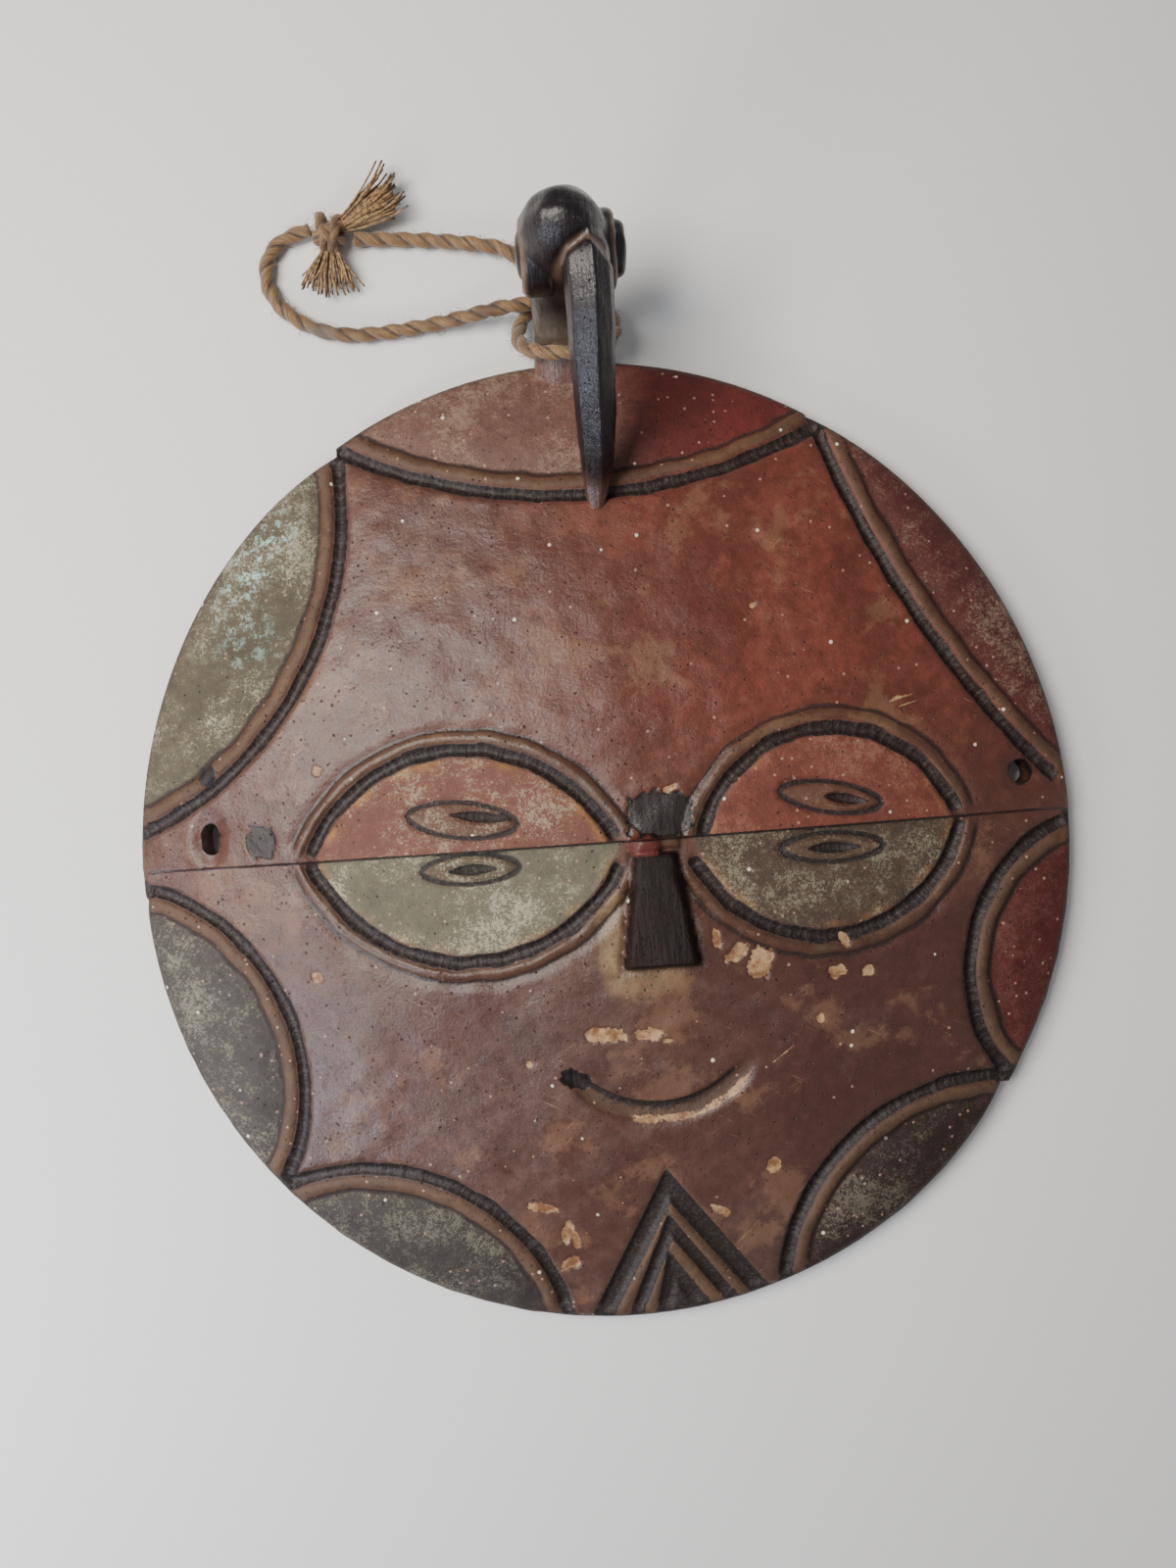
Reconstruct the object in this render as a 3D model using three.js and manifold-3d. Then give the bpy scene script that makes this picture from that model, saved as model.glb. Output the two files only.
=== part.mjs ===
// Carved wooden disc mask with a long-beaked bird's head over its top edge and a looped fibre cord
// round the bird's neck. It lies on its back: +Z out of the face, +Y to the bird. Millimetres.
import * as THREE from 'three';
import Module from 'manifold-3d';
import { mergeVertices } from 'three/addons/utils/BufferGeometryUtils.js';

const wasm = await Module();
wasm.setup();

// Disc: mean radius, slow waves of the edge, nicks in it, and the profile from edge to middle
const discRadius = 155.1;
const edgeWaves = [
  { turns: 1, size: 1.1, peak: -127 },
  { turns: 2, size: 2.2, peak: -86 },
  { turns: 3, size: 0.65, peak: -16 },
];
const edgeNicks = [
  { angle: 121, depth: 2.6, run: 7 },
  { angle: 324.5, depth: 2.4, run: -5 },
];
const edgeHeight = 9;
const edgeRounding = 2.4;
const crownRise = 22;
const wallAtMiddle = 14;
const backRimWidth = 17;
const aroundDisc = 60;

// The upper half of the face stands above the lower half along a line across the eyes
const midlineStep = 2.6;
const midlineFade = 70;
const leastStep = 0.5;

// Carved borders: a deep groove, a rounded ridge beside it and a soft groove past the ridge
const rimBorder = { grooveHalf: 2.2, depth: 2.3, crest: 5.0, soft: 8.6, softDepth: 1.1, out: 11.6 };
const eyeBorder = { grooveHalf: 1.9, depth: 2.1, crest: 4.6, soft: 7.4, softDepth: 0.7, out: 9.6 };
const borderStep = 13;
const crestDrop = 0.4;

// Places and lengths on the face are shares of the disc's radius, here and below.
// Each border is an arc: its middle, its radius and the angles where it starts and ends.
const rimArcs = [
  { x: 0.0116, y: 1.7124, radius: 1, from: 238.5, to: 301 },
  { x: 2.1741, y: 1.2914, radius: 1.7331, from: 194, to: 225 },
  { x: 1.0613, y: -0.3417, radius: 0.3275, from: 104, to: 221 },
  { x: 0.7453, y: -0.989, radius: 0.4365, from: 81, to: 176 },
  { x: -0.5609, y: -1.0664, radius: 0.4159, from: 113, to: 8 },
  { x: -1.0883, y: -0.4468, radius: 0.4249, from: 77, to: -34 },
  { x: -1.1876, y: 0.7305, radius: 0.6828, from: 11, to: -73 },
];
const eyeArcs = [
  { x: -0.2985, y: -0.1393, radius: 0.3443, from: 153, to: 26 },
  { x: -0.2837, y: 0.1277, radius: 0.3533, from: 203, to: 329 },
  { x: 0.4558, y: -0.0812, radius: 0.2798, from: 162, to: 20 },
  { x: 0.4449, y: 0.0761, radius: 0.3005, from: 205, to: 342 },
];

// Four small closed eyes, two in each large one: an almond outline with a slit in it
const smallEyes = [
  { x: -0.2888, y: 0.0632, long: 0.1141, high: 0.0361, tilt: -8, slitX: -0.2515, slitY: 0.0671, slit: 0.0632 },
  { x: -0.2805, y: -0.0374, long: 0.1019, high: 0.0303, tilt: 0, slitX: -0.276, slitY: -0.0387, slit: 0.0516 },
  { x: 0.4578, y: 0.0567, long: 0.1083, high: 0.0309, tilt: -11, slitX: 0.4861, slitY: 0.0516, slit: 0.0464 },
  { x: 0.4565, y: -0.0451, long: 0.1096, high: 0.0297, tilt: -2, slitX: 0.4591, slitY: -0.0464, slit: 0.0554 },
];
const almondLine = { half: 1.2, depth: 0.9 };
const slitHalf = 2.2;
const slitDepth = 2.2;

// Nose wedge, the bump above it, the mouth and the three chevrons of the chin
const nose = { top: -0.0355, foot: -0.2579, topLeft: 0.0503, topRight: 0.1386, footLeft: 0.0155, footRight: 0.1689 };
const noseRise = { top: 2.4, foot: 6.2, bevel: 2.6, frontSlope: 2.4 };
const noseBump = { x: 0.0761, y: -0.0129, radius: 4.6, rise: 3.4 };
const mouth = { x: 0.0729, y: -0.3224, radius: 0.2392, from: 217, to: 326, half: 2.1, depth: 2.2 };
const chinApex = 0.0748;
const chevrons = [
  { apex: -0.7286, leftFoot: -0.087, rightFoot: 0.2676, half: 3.3, depth: 2.2 },
  { apex: -0.8156, leftFoot: -0.0232, rightFoot: 0.2102, half: 2.3, depth: 1.9 },
  { apex: -0.8994, leftFoot: 0.0322, rightFoot: 0.158, half: 2.5, depth: 1.8 },
];
const chevronFeet = { left: -1.045, right: -1.0125 };

// Tie holes at the two ends of the midline: an upright slot and a round hole
const tieSlot = { x: -0.824, y: 0.0587, width: 6.2, height: 10.2 };
const tieHole = { x: 0.8736, y: 0.0799, width: 8, height: 8 };
const holeSides = 16;

// Bird: neck rings, head, eye bosses and beak rings. Their y is measured from the disc's top edge.
const neckMiddle = -1.2;
const neckRings = [
  { y: -9.1, z: 5.6, lean: 12, wide: 12, deep: 4.2 },
  { y: -1.1, z: 8.8, lean: 34, wide: 11, deep: 6 },
  { y: 8.4, z: 14.8, lean: 46, wide: 10.5, deep: 7.4 },
  { y: 16.4, z: 25, lean: 58, wide: 11, deep: 9 },
  { y: 20.9, z: 38, lean: 70, wide: 12.4, deep: 11 },
  { y: 22.9, z: 48, lean: 80, wide: 11, deep: 10.5 },
];
const head = { x: -0.9, y: 23.9, z: 51, wide: 13.4, long: 12.6, high: 20.5 };
const eyeBosses = [
  { side: -1, y: 21.6, z: 46, outer: 12, inner: 7.4, reach: 13.4, innerReach: 14.2 },
  { side: 1, y: 22.8, z: 43, outer: 12, inner: 8.4, reach: 16.2, innerReach: 18.8 },
];
const bossSides = 14;
const beakRings = [
  { x: 4.4, y: 20.9, z: 55, lean: -8, half: 7.2, up: 11.5, down: 7 },
  { x: 5.4, y: 14.2, z: 59.6, lean: 6, half: 7.4, up: 9.2, down: 7.6 },
  { x: 5.7, y: 6.4, z: 58.5, lean: 21, half: 7.3, up: 8.4, down: 7.2 },
  { x: 5.7, y: -2.9, z: 54.2, lean: 32, half: 7.1, up: 7.6, down: 6.6 },
  { x: 5.6, y: -13.4, z: 46.8, lean: 38, half: 6.8, up: 7, down: 6 },
  { x: 5.6, y: -25.5, z: 37.8, lean: 43, half: 6.2, up: 6.2, down: 5.2 },
  { x: 5.4, y: -34, z: 30.3, lean: 48, half: 5.6, up: 5.2, down: 4.6 },
  { x: 4.9, y: -42.2, z: 22.7, lean: 46, half: 4.6, up: 3.4, down: 6.4 },
  { x: 4.3, y: -49.9, z: 20.2, lean: 40, half: 2.2, up: 1.2, down: 4.6 },
];

// Cord: a round turn over the neck and a loop on the left, from one side of the knot to the other.
// Its y is measured from the disc's top edge too.
const cordThickness = 5;
const cordSides = 8;
const cordSteps = 56;
const touchGap = 0.3;
const knot = { x: -76.4, y: 50.3, z: 5.5, wide: 6.6, high: 7.2, deep: 5.2 };
const cordRoute = [
  [-69.4, 49.1, 3.6],
  [-60, 48.5, 2.9],
  [-48.5, 47.5, 2.9],
  [-37.5, 45.9, 3.4],
  [-28, 43.9, 4.2],
  [-19.8, 41.6, 4.4],
  [-13.6, 36.6, 4],
  [-11.2, 29.6, 3.2],
  [-12.4, 22.8, 2.9],
  [-15.6, 17.2, 4.6],
  [-17.2, 11.8, 8.4],
  [-16.4, 6.9, 13.4],
  [-13, 3, 18.2],
  [-7.2, 0.6, 21.6],
  [-0.4, 0, 22.4],
  [5.4, 0.8, 21.1],
  [10.6, 3.5, 17.6],
  [13.8, 8, 13],
  [14.4, 13.2, 9],
  [12.9, 18.2, 5.8],
  [8.8, 22, 3.8],
  [2.4, 23.6, 2.9],
  [-5.6, 22.7, 5],
  [-12, 21.5, 8.6],
  [-18.2, 20.8, 9.8],
  [-25, 20.3, 9],
  [-36, 19.5, 5.6],
  [-45, 19, 3.3],
  [-54, 18.2, 2.7],
  [-63.5, 17.5, 2.7],
  [-73.3, 17.7, 2.7],
  [-82, 19.7, 2.7],
  [-90.4, 24.1, 2.7],
  [-97, 30.7, 2.7],
  [-99.4, 38.5, 2.7],
  [-97.9, 45.5, 2.7],
  [-93.2, 50.3, 2.8],
  [-83.7, 53.1, 3.8],
];
const frayedEnds = [
  { name: 'frayed_end_long', heading: 24, length: 22, rootHalf: 2, endHalf: 8.4, rootZ: 6.2, endZ: 4 },
  { name: 'frayed_end_short', heading: 263, length: 13, rootHalf: 2.8, endHalf: 10, rootZ: 5.2, endZ: 3 },
];
const frayedThickness = { root: 4.4, end: 4 };
const frayedSides = 10;

const carvedWood = new THREE.MeshStandardMaterial({ color: 0x73453a, roughness: 0.42, metalness: 0 });
const twistedFibre = new THREE.MeshStandardMaterial({ color: 0xa07a4a, roughness: 0.8, metalness: 0 });

const radians = THREE.MathUtils.degToRad;

// Edges shorter than this are merged away where cuts cross
const smallestEdge = 0.03;

// A closed skin through rings with equally many points: each end is flat, or runs to a tip if given
function skin(rings, { firstTip, lastTip } = {}) {
  const sides = rings[0].length;
  const last = (rings.length - 1) * sides;
  const points = rings.flat();
  const faces = [];
  for (let ring = 0; ring + 1 < rings.length; ring += 1) {
    for (let side = 0; side < sides; side += 1) {
      const here = ring * sides + side;
      const next = ring * sides + (side + 1) % sides;
      faces.push([here, next, next + sides], [here, next + sides, here + sides]);
    }
  }
  const close = (start, tip, turned) => {
    const middle = tip ? points.push(tip) - 1 : start;
    for (let side = tip ? 0 : 1; side + (tip ? 0 : 1) < sides; side += 1) {
      const next = start + (side + 1) % sides;
      faces.push(turned ? [middle, next, start + side] : [middle, start + side, next]);
    }
  };
  close(0, firstTip, true);
  close(last, lastTip, false);
  return solidOf(points, faces);
}

// A solid from points and triangles, turned outside out if its volume comes out negative
function solidOf(points, faces) {
  let volume = 0;
  for (const [a, b, c] of faces) {
    const corner = new THREE.Vector3(...points[b]).cross(new THREE.Vector3(...points[c]));
    volume += corner.dot(new THREE.Vector3(...points[a]));
  }
  const outward = volume > 0 ? faces : faces.map(([a, b, c]) => [a, c, b]);
  return new wasm.Manifold(new wasm.Mesh({
    numProp: 3,
    vertProperties: new Float32Array(points.flat()),
    triVerts: new Uint32Array(outward.flat()),
    tolerance: smallestEdge,
  }));
}

// A solid from a closed three.js geometry
function solidFrom(geometry) {
  const bare = geometry.clone();
  bare.deleteAttribute('normal');
  bare.deleteAttribute('uv');
  const merged = mergeVertices(bare);
  return new wasm.Manifold(new wasm.Mesh({
    numProp: 3,
    vertProperties: new Float32Array(merged.attributes.position.array),
    triVerts: new Uint32Array(merged.index.array),
    tolerance: smallestEdge,
  }));
}

function edgeRadius(angle) {
  let radius = discRadius;
  for (const wave of edgeWaves) {
    radius += wave.size * Math.cos(wave.turns * (angle - radians(wave.peak)));
  }
  for (const nick of edgeNicks) {
    const turned = THREE.MathUtils.radToDeg(angle) - nick.angle;
    const past = THREE.MathUtils.euclideanModulo(turned + 180, 360) - 180;
    if (past / nick.run >= 0) {
      radius -= nick.depth * Math.exp(-past / nick.run);
    }
  }
  return radius;
}

function edgeShare(x, y) {
  return Math.hypot(x, y) / edgeRadius(Math.atan2(y, x));
}

function upperFace(x, y) {
  return edgeHeight + crownRise * (1 - edgeShare(x, y) ** 2);
}

function stepDown(x, y) {
  const towardsEdge = 1 - Math.min(1, Math.abs(x) / discRadius) ** 4;
  return leastStep + (midlineStep - leastStep) * towardsEdge * Math.exp(Math.min(0, y) / midlineFade);
}

function faceHeight(x, y) {
  return upperFace(x, y) - (y < 0 ? stepDown(x, y) : 0);
}

// The disc: flat rim on the back round a shallow hollow, a rounded edge and a domed face
function disc() {
  const hollowShare = 1 - backRimWidth / discRadius;
  const hollowDepth = edgeHeight + crownRise - wallAtMiddle;
  const hollow = (share) => hollowDepth * (1 - (share / hollowShare) ** 2);
  const round = edgeRounding / discRadius;
  const profile = [0.22, 0.48, 0.72].map((share) => ({ share: share * hollowShare, back: true }));
  profile.push({ share: hollowShare, level: 0 }, { share: 1 - round, level: 0 });
  profile.push({ share: 1, level: edgeRounding }, { share: 1, level: edgeHeight - edgeRounding });
  for (const share of [1 - round, 0.9, 0.77, 0.62, 0.45, 0.27, 0.11]) {
    profile.push({ share, face: true });
  }
  const rings = profile.map(({ share, back, face, level }) => {
    const ring = [];
    for (let step = 0; step < aroundDisc; step += 1) {
      const angle = 2 * Math.PI * (step + 0.5) / aroundDisc;
      const x = share * edgeRadius(angle) * Math.cos(angle);
      const y = share * edgeRadius(angle) * Math.sin(angle);
      const z = face ? upperFace(x, y) : level;
      ring.push([x, y, back ? hollow(share) : z]);
    }
    return ring;
  });
  return skin(rings, { firstTip: [0, 0, hollow(0)], lastTip: [0, 0, upperFace(0, 0)] });
}

// What is cut away to leave the lower half of the face below the upper half
function lowerHalfCut() {
  const across = 18;
  const down = 9;
  const reach = discRadius * 1.1;
  const top = edgeHeight + crownRise * 2;
  const rings = [];
  for (let row = 0; row <= down; row += 1) {
    const y = -reach * (row / down) ** 1.3;
    const ring = [];
    for (let column = 0; column <= across; column += 1) {
      const x = reach * (2 * column / across - 1);
      ring.push([x, y, upperFace(x, y) - stepDown(x, y)]);
    }
    ring.push([reach, y, top], [-reach, y, top]);
    rings.push(ring);
  }
  return skin(rings);
}

// A cutter that follows a path over the face, its section given as sideways offset and height
function cutAlong(path, section, closed = false) {
  const count = path.length;
  const direction = (from, to) => new THREE.Vector2(to[0] - from[0], to[1] - from[1]).normalize();
  const rings = path.map((point, index) => {
    const before = closed ? path[(index + count - 1) % count] : path[Math.max(index - 1, 0)];
    const after = closed ? path[(index + 1) % count] : path[Math.min(index + 1, count - 1)];
    const arriving = index > 0 || closed ? direction(before, point) : direction(point, after);
    const leaving = index < count - 1 || closed ? direction(point, after) : direction(before, point);
    const along = arriving.clone().add(leaving).normalize();
    const mitre = 1 / Math.max(0.35, along.dot(arriving));
    return section.map(([offset, height]) => {
      const x = point[0] - along.y * offset * mitre;
      const y = point[1] + along.x * offset * mitre;
      return [x, y, faceHeight(x, y) + height];
    });
  });
  if (!closed) {
    return skin(rings);
  }
  const sides = section.length;
  const faces = [];
  for (let ring = 0; ring < count; ring += 1) {
    for (let side = 0; side < sides; side += 1) {
      const here = ring * sides + side;
      const next = ring * sides + (side + 1) % sides;
      const onward = ((ring + 1) % count) * sides;
      const nextOn = onward + (side + 1) % sides;
      faces.push([here, next, nextOn], [here, nextOn, onward + side]);
    }
  }
  return solidOf(rings.flat(), faces);
}

// A row with some of its values turned from shares of the disc's radius into lengths
function onDisc(row, names) {
  return { ...row, ...Object.fromEntries(names.map((name) => [name, row[name] * discRadius])) };
}

function arcPath(arc, step) {
  const { x, y, radius, from, to } = onDisc(arc, ['x', 'y', 'radius']);
  const length = radius * radians(Math.abs(to - from));
  const pieces = Math.ceil(length / step);
  const path = [];
  for (let piece = 0; piece <= pieces; piece += 1) {
    const angle = radians(from + (to - from) * piece / pieces);
    path.push([x + radius * Math.cos(angle), y + radius * Math.sin(angle)]);
  }
  return path;
}

// A groove with a ridge beside it: towards is 1 where the ridge lies nearer the arc's own middle
function borderCut(arc, border, towards) {
  const turning = Math.sign(arc.to - arc.from);
  const side = towards * turning;
  const section = [
    [side * border.crest * 0.6, 4],
    [-side * border.grooveHalf * 1.35, 0.8],
    [0, -border.depth],
    [side * border.crest, -crestDrop],
    [side * border.soft, -border.softDepth],
    [side * border.out * 1.05, 0.4],
  ];
  return cutAlong(arcPath(arc, borderStep), section);
}

function grooveSection(half, depth) {
  return [[0, 2], [-half * 1.3, 0.3 * depth], [0, -depth], [half * 1.3, 0.3 * depth]];
}

function smallEyeCuts(eye) {
  const lengths = ['x', 'y', 'long', 'high', 'slitX', 'slitY', 'slit'];
  const { x, y, long, high, tilt, slitX, slitY, slit } = onDisc(eye, lengths);
  const turn = radians(tilt);
  const place = (cx, cy, along, across) => [
    cx + along * Math.cos(turn) - across * Math.sin(turn),
    cy + along * Math.sin(turn) + across * Math.cos(turn),
  ];
  const outline = [];
  const corners = 14;
  for (let corner = 0; corner < corners; corner += 1) {
    const angle = 2 * Math.PI * corner / corners;
    const fullness = Math.abs(Math.sin(angle)) ** 1.3 * Math.sign(Math.sin(angle));
    outline.push(place(x, y, long * Math.cos(angle), high * fullness));
  }
  const line = cutAlong(outline, grooveSection(almondLine.half, almondLine.depth), true);
  const rings = [-1, -0.55, 0, 0.55, 1].map((share) => {
    const half = 0.25 + slitHalf * (1 - share ** 2);
    return [[0, 2], [-half * 1.3, 0.5], [0, -0.2 - slitDepth * (1 - share ** 2)], [half * 1.3, 0.5]].map(
      ([across, height]) => {
        const [px, py] = place(slitX, slitY, share * slit, across);
        return [px, py, faceHeight(px, py) + height];
      },
    );
  });
  return [line, skin(rings)];
}

function chevronCut({ apex, leftFoot, rightFoot, half, depth }) {
  const corners = [[leftFoot, chevronFeet.left], [chinApex, apex], [rightFoot, chevronFeet.right]];
  const path = corners.map(([x, y]) => [x * discRadius, y * discRadius]);
  const stations = [];
  for (let leg = 0; leg < 2; leg += 1) {
    for (const share of [0, 0.35, 0.7]) {
      const [from, to] = [path[leg], path[leg + 1]];
      stations.push([from[0] + (to[0] - from[0]) * share, from[1] + (to[1] - from[1]) * share]);
    }
  }
  stations.push(path[2]);
  return cutAlong(stations, grooveSection(half, depth));
}

function noseWedge() {
  const { top, foot, topLeft, topRight, footLeft, footRight } = onDisc(nose, Object.keys(nose));
  const rings = [0, 0.5, 1].map((share) => {
    const y = top + (foot - top) * share;
    const left = topLeft + (footLeft - topLeft) * share;
    const right = topRight + (footRight - topRight) * share;
    const rise = noseRise.top + (noseRise.foot - noseRise.top) * share;
    const level = faceHeight((left + right) / 2, y);
    const lip = y + noseRise.frontSlope * (share === 1 ? 1 : 0);
    return [
      [left, y, level - 3],
      [right, y, level - 3],
      [right, y, level],
      [right - noseRise.bevel, lip, level + rise],
      [left + noseRise.bevel, lip, level + rise],
      [left, y, level],
    ];
  });
  return skin(rings);
}

function noseBumpSolid() {
  const { x, y, radius, rise } = onDisc(noseBump, ['x', 'y']);
  const ball = new THREE.SphereGeometry(radius, 10, 7);
  ball.scale(1, 1, rise / radius);
  ball.translate(x, y, faceHeight(x, y));
  return solidFrom(ball);
}

// An upright prism with a rounded outline, wide by high, through the whole thickness of the disc
function throughHole(hole) {
  const { x, y, width, height } = onDisc(hole, ['x', 'y']);
  const level = (z) => {
    const ring = [];
    for (let side = 0; side < holeSides; side += 1) {
      const angle = 2 * Math.PI * (side + 0.5) / holeSides;
      const straight = Math.max(0, height - width) / 2 * Math.sign(Math.sin(angle));
      ring.push([x + width / 2 * Math.cos(angle), y + straight + width / 2 * Math.sin(angle), z]);
    }
    return ring;
  };
  return skin([level(-crownRise), level(edgeHeight + crownRise * 2)]);
}

// A ring round the bird, across its long axis: lean turns the ring's up direction about X
function leaningRing({ x, y, z, lean }, section) {
  const tip = radians(lean);
  return section.map(([across, up]) => [x + across, y - up * Math.sin(tip), z + up * Math.cos(tip)]);
}

function neck() {
  const sides = 14;
  const rings = neckRings.map((ring) => {
    const section = [];
    for (let side = 0; side < sides; side += 1) {
      const angle = 2 * Math.PI * side / sides;
      section.push([ring.wide * Math.cos(angle), ring.deep * Math.sin(angle)]);
    }
    return leaningRing({ x: neckMiddle, ...ring }, section);
  });
  return skin(rings);
}

function headSolid() {
  const ball = new THREE.SphereGeometry(1, 16, 12);
  ball.rotateX(Math.PI / 2);
  ball.scale(head.wide, head.long, head.high);
  ball.translate(head.x, head.y, head.z);
  return solidFrom(ball);
}

// Two stacked round bosses on a side of the head, the bird's eye and the ring round it
function eyeBoss({ side, y, z, outer, inner, reach, innerReach }) {
  const round = [
    [reach * 0.4, outer],
    [reach - 2.8, outer],
    [reach - 0.6, outer - 1.6],
    [reach, inner],
    [innerReach - 0.8, inner - 0.4],
    [innerReach, inner - 2],
  ];
  const rings = round.map(([out, radius]) => {
    const ring = [];
    for (let corner = 0; corner < bossSides; corner += 1) {
      const angle = 2 * Math.PI * corner / bossSides;
      ring.push([head.x + side * out, y + radius * Math.cos(angle), z + radius * Math.sin(angle)]);
    }
    return ring;
  });
  return skin(rings);
}

// The beak: a keeled section that arches from the brow and comes down on the face
function beak() {
  const rings = beakRings.map((ring) => leaningRing(ring, [
    [0.1 * ring.half, ring.up],
    [0.62 * ring.half, ring.up * 0.72],
    [ring.half, 0],
    [0.8 * ring.half, -ring.down * 0.75],
    [0, -ring.down],
    [-0.8 * ring.half, -ring.down * 0.75],
    [-ring.half, 0],
    [-0.42 * ring.half, ring.up * 0.86],
  ]));
  return skin(rings);
}

function maskSolid() {
  let body = disc().subtract(lowerHalfCut());
  const cuts = [
    ...rimArcs.map((arc) => borderCut(arc, rimBorder, 1)),
    ...eyeArcs.map((arc) => borderCut(arc, eyeBorder, -1)),
    ...smallEyes.flatMap(smallEyeCuts),
    ...chevrons.map(chevronCut),
    cutAlong(arcPath(mouth, 8), grooveSection(mouth.half, mouth.depth)),
    throughHole(tieSlot),
    throughHole(tieHole),
  ];
  for (const cut of cuts) {
    body = body.subtract(cut);
  }
  const bird = [neck(), headSolid(), ...eyeBosses.map(eyeBoss), beak()];
  const added = [noseWedge(), noseBumpSolid(), ...bird.map((piece) => piece.translate([0, discRadius, 0]))];
  for (const piece of added) {
    body = body.add(piece);
  }
  return body;
}

function geometryOf(solid) {
  const mesh = solid.getMesh();
  const geometry = new THREE.BufferGeometry();
  geometry.setAttribute('position', new THREE.BufferAttribute(new Float32Array(mesh.vertProperties), 3));
  geometry.setIndex(new THREE.BufferAttribute(new Uint32Array(mesh.triVerts), 1));
  geometry.computeVertexNormals();
  return geometry;
}

function cordGeometry() {
  const points = cordRoute.map((point) => new THREE.Vector3(...point));
  const curve = new THREE.CatmullRomCurve3(points, false, 'centripetal');
  curve.arcLengthDivisions = 2000;
  const section = new THREE.Shape();
  for (let side = 0; side < cordSides; side += 1) {
    const angle = 2 * Math.PI * side / cordSides;
    const corner = [cordThickness / 2 * Math.cos(angle), cordThickness / 2 * Math.sin(angle)];
    if (side === 0) {
      section.moveTo(...corner);
    } else {
      section.lineTo(...corner);
    }
  }
  section.closePath();
  return new THREE.ExtrudeGeometry(section, { steps: cordSteps, extrudePath: curve });
}

function knotGeometry() {
  const ball = new THREE.SphereGeometry(1, 14, 10);
  ball.scale(knot.wide, knot.high, knot.deep);
  ball.translate(knot.x, knot.y, knot.z);
  return ball;
}

// A fan of loose fibre from the knot's side outwards, flat and wide at its end
function frayedGeometry({ heading, length, rootHalf, endHalf, rootZ, endZ }) {
  const angle = radians(heading);
  const [ahead, aside] = [Math.cos(angle), Math.sin(angle)];
  const start = 1 / Math.hypot(ahead / knot.wide, aside / knot.high) + touchGap;
  const rings = [0, 0.22, 0.6, 1].map((share) => {
    const out = start + length * share;
    const half = rootHalf + (endHalf - rootHalf) * share ** 1.3;
    const thick = frayedThickness.root + (frayedThickness.end - frayedThickness.root) * share;
    const ring = [];
    for (let side = 0; side < frayedSides; side += 1) {
      const turn = 2 * Math.PI * side / frayedSides;
      const across = half * Math.cos(turn);
      ring.push([
        knot.x + out * ahead - across * aside,
        knot.y + out * aside + across * ahead,
        rootZ + (endZ - rootZ) * share + thick / 2 * Math.sin(turn),
      ]);
    }
    return ring;
  });
  return geometryOf(skin(rings));
}

function named(name, geometry, material) {
  const mesh = new THREE.Mesh(geometry, material);
  mesh.name = name;
  return mesh;
}

const mask = named('mask', geometryOf(maskSolid()), carvedWood);
const assembly = new THREE.Group();
assembly.add(mask);
const cordParts = { hanging_cord: cordGeometry(), cord_knot: knotGeometry() };
for (const end of frayedEnds) {
  cordParts[end.name] = frayedGeometry(end);
}
for (const [name, geometry] of Object.entries(cordParts)) {
  assembly.add(named(name, geometry.translate(0, discRadius, 0), twistedFibre));
}

// The origin is under the middle of the mask's own box
const box = new THREE.Box3().setFromObject(mask);
assembly.position.set(-(box.min.x + box.max.x) / 2, -(box.min.y + box.max.y) / 2, -box.min.z);

const model = new THREE.Group();
model.add(assembly);
model.updateMatrixWorld(true);

export default model;
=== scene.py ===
# Looks of a round carved wooden mask with a long-beaked bird's head and a twisted cord, lying face up.
# Shapes are worked out in millimetres round the middle of the disc. onFrame() turns them into metres
# in the row's frame.
import math

import bpy
import numpy as np
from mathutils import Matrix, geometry


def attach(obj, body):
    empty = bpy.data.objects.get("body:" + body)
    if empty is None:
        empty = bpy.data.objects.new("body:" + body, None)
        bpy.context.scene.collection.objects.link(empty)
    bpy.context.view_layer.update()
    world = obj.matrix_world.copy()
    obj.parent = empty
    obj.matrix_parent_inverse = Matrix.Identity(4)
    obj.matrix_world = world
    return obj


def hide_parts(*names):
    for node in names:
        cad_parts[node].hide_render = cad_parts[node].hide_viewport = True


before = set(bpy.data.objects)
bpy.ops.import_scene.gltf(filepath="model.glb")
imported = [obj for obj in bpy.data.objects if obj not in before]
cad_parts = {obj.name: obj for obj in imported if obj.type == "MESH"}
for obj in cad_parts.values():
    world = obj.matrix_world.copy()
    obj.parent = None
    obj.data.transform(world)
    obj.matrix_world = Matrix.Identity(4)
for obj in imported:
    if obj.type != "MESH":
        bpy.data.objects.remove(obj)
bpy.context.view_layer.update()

discMiddle = (0.199, -17.039, 0)


def onFrame(points):
    return (np.asarray(points, float) + np.array(discMiddle)) / 1000


def offFrame(points):
    return points * 1000 - np.array(discMiddle)


def colour(code):
    channels = [int(code[start:start + 2], 16) / 255 for start in (1, 3, 5)]
    linear = [c / 12.92 if c <= 0.04045 else ((c + 0.055) / 1.055) ** 2.4 for c in channels]
    return np.array(linear + [1.0])


def ramp(low, high, value):
    share = np.clip((value - low) / (high - low), 0, 1)
    return share * share * (3 - 2 * share)


# A slow uneven surface from -1 to 1 or so, with bumps about length mm apart
def unevenness(x, y, length, seed, count=9):
    pick = np.random.default_rng(seed)
    turns = pick.uniform(0, 2 * np.pi, count)
    rates = 2 * np.pi / (length * pick.uniform(0.75, 1.6, count))
    starts = pick.uniform(0, 2 * np.pi, count)
    total = sum(
        np.sin(rate * (x * np.cos(turn) + y * np.sin(turn)) + start)
        for turn, rate, start in zip(turns, rates, starts)
    )
    return total / math.sqrt(count)


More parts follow.
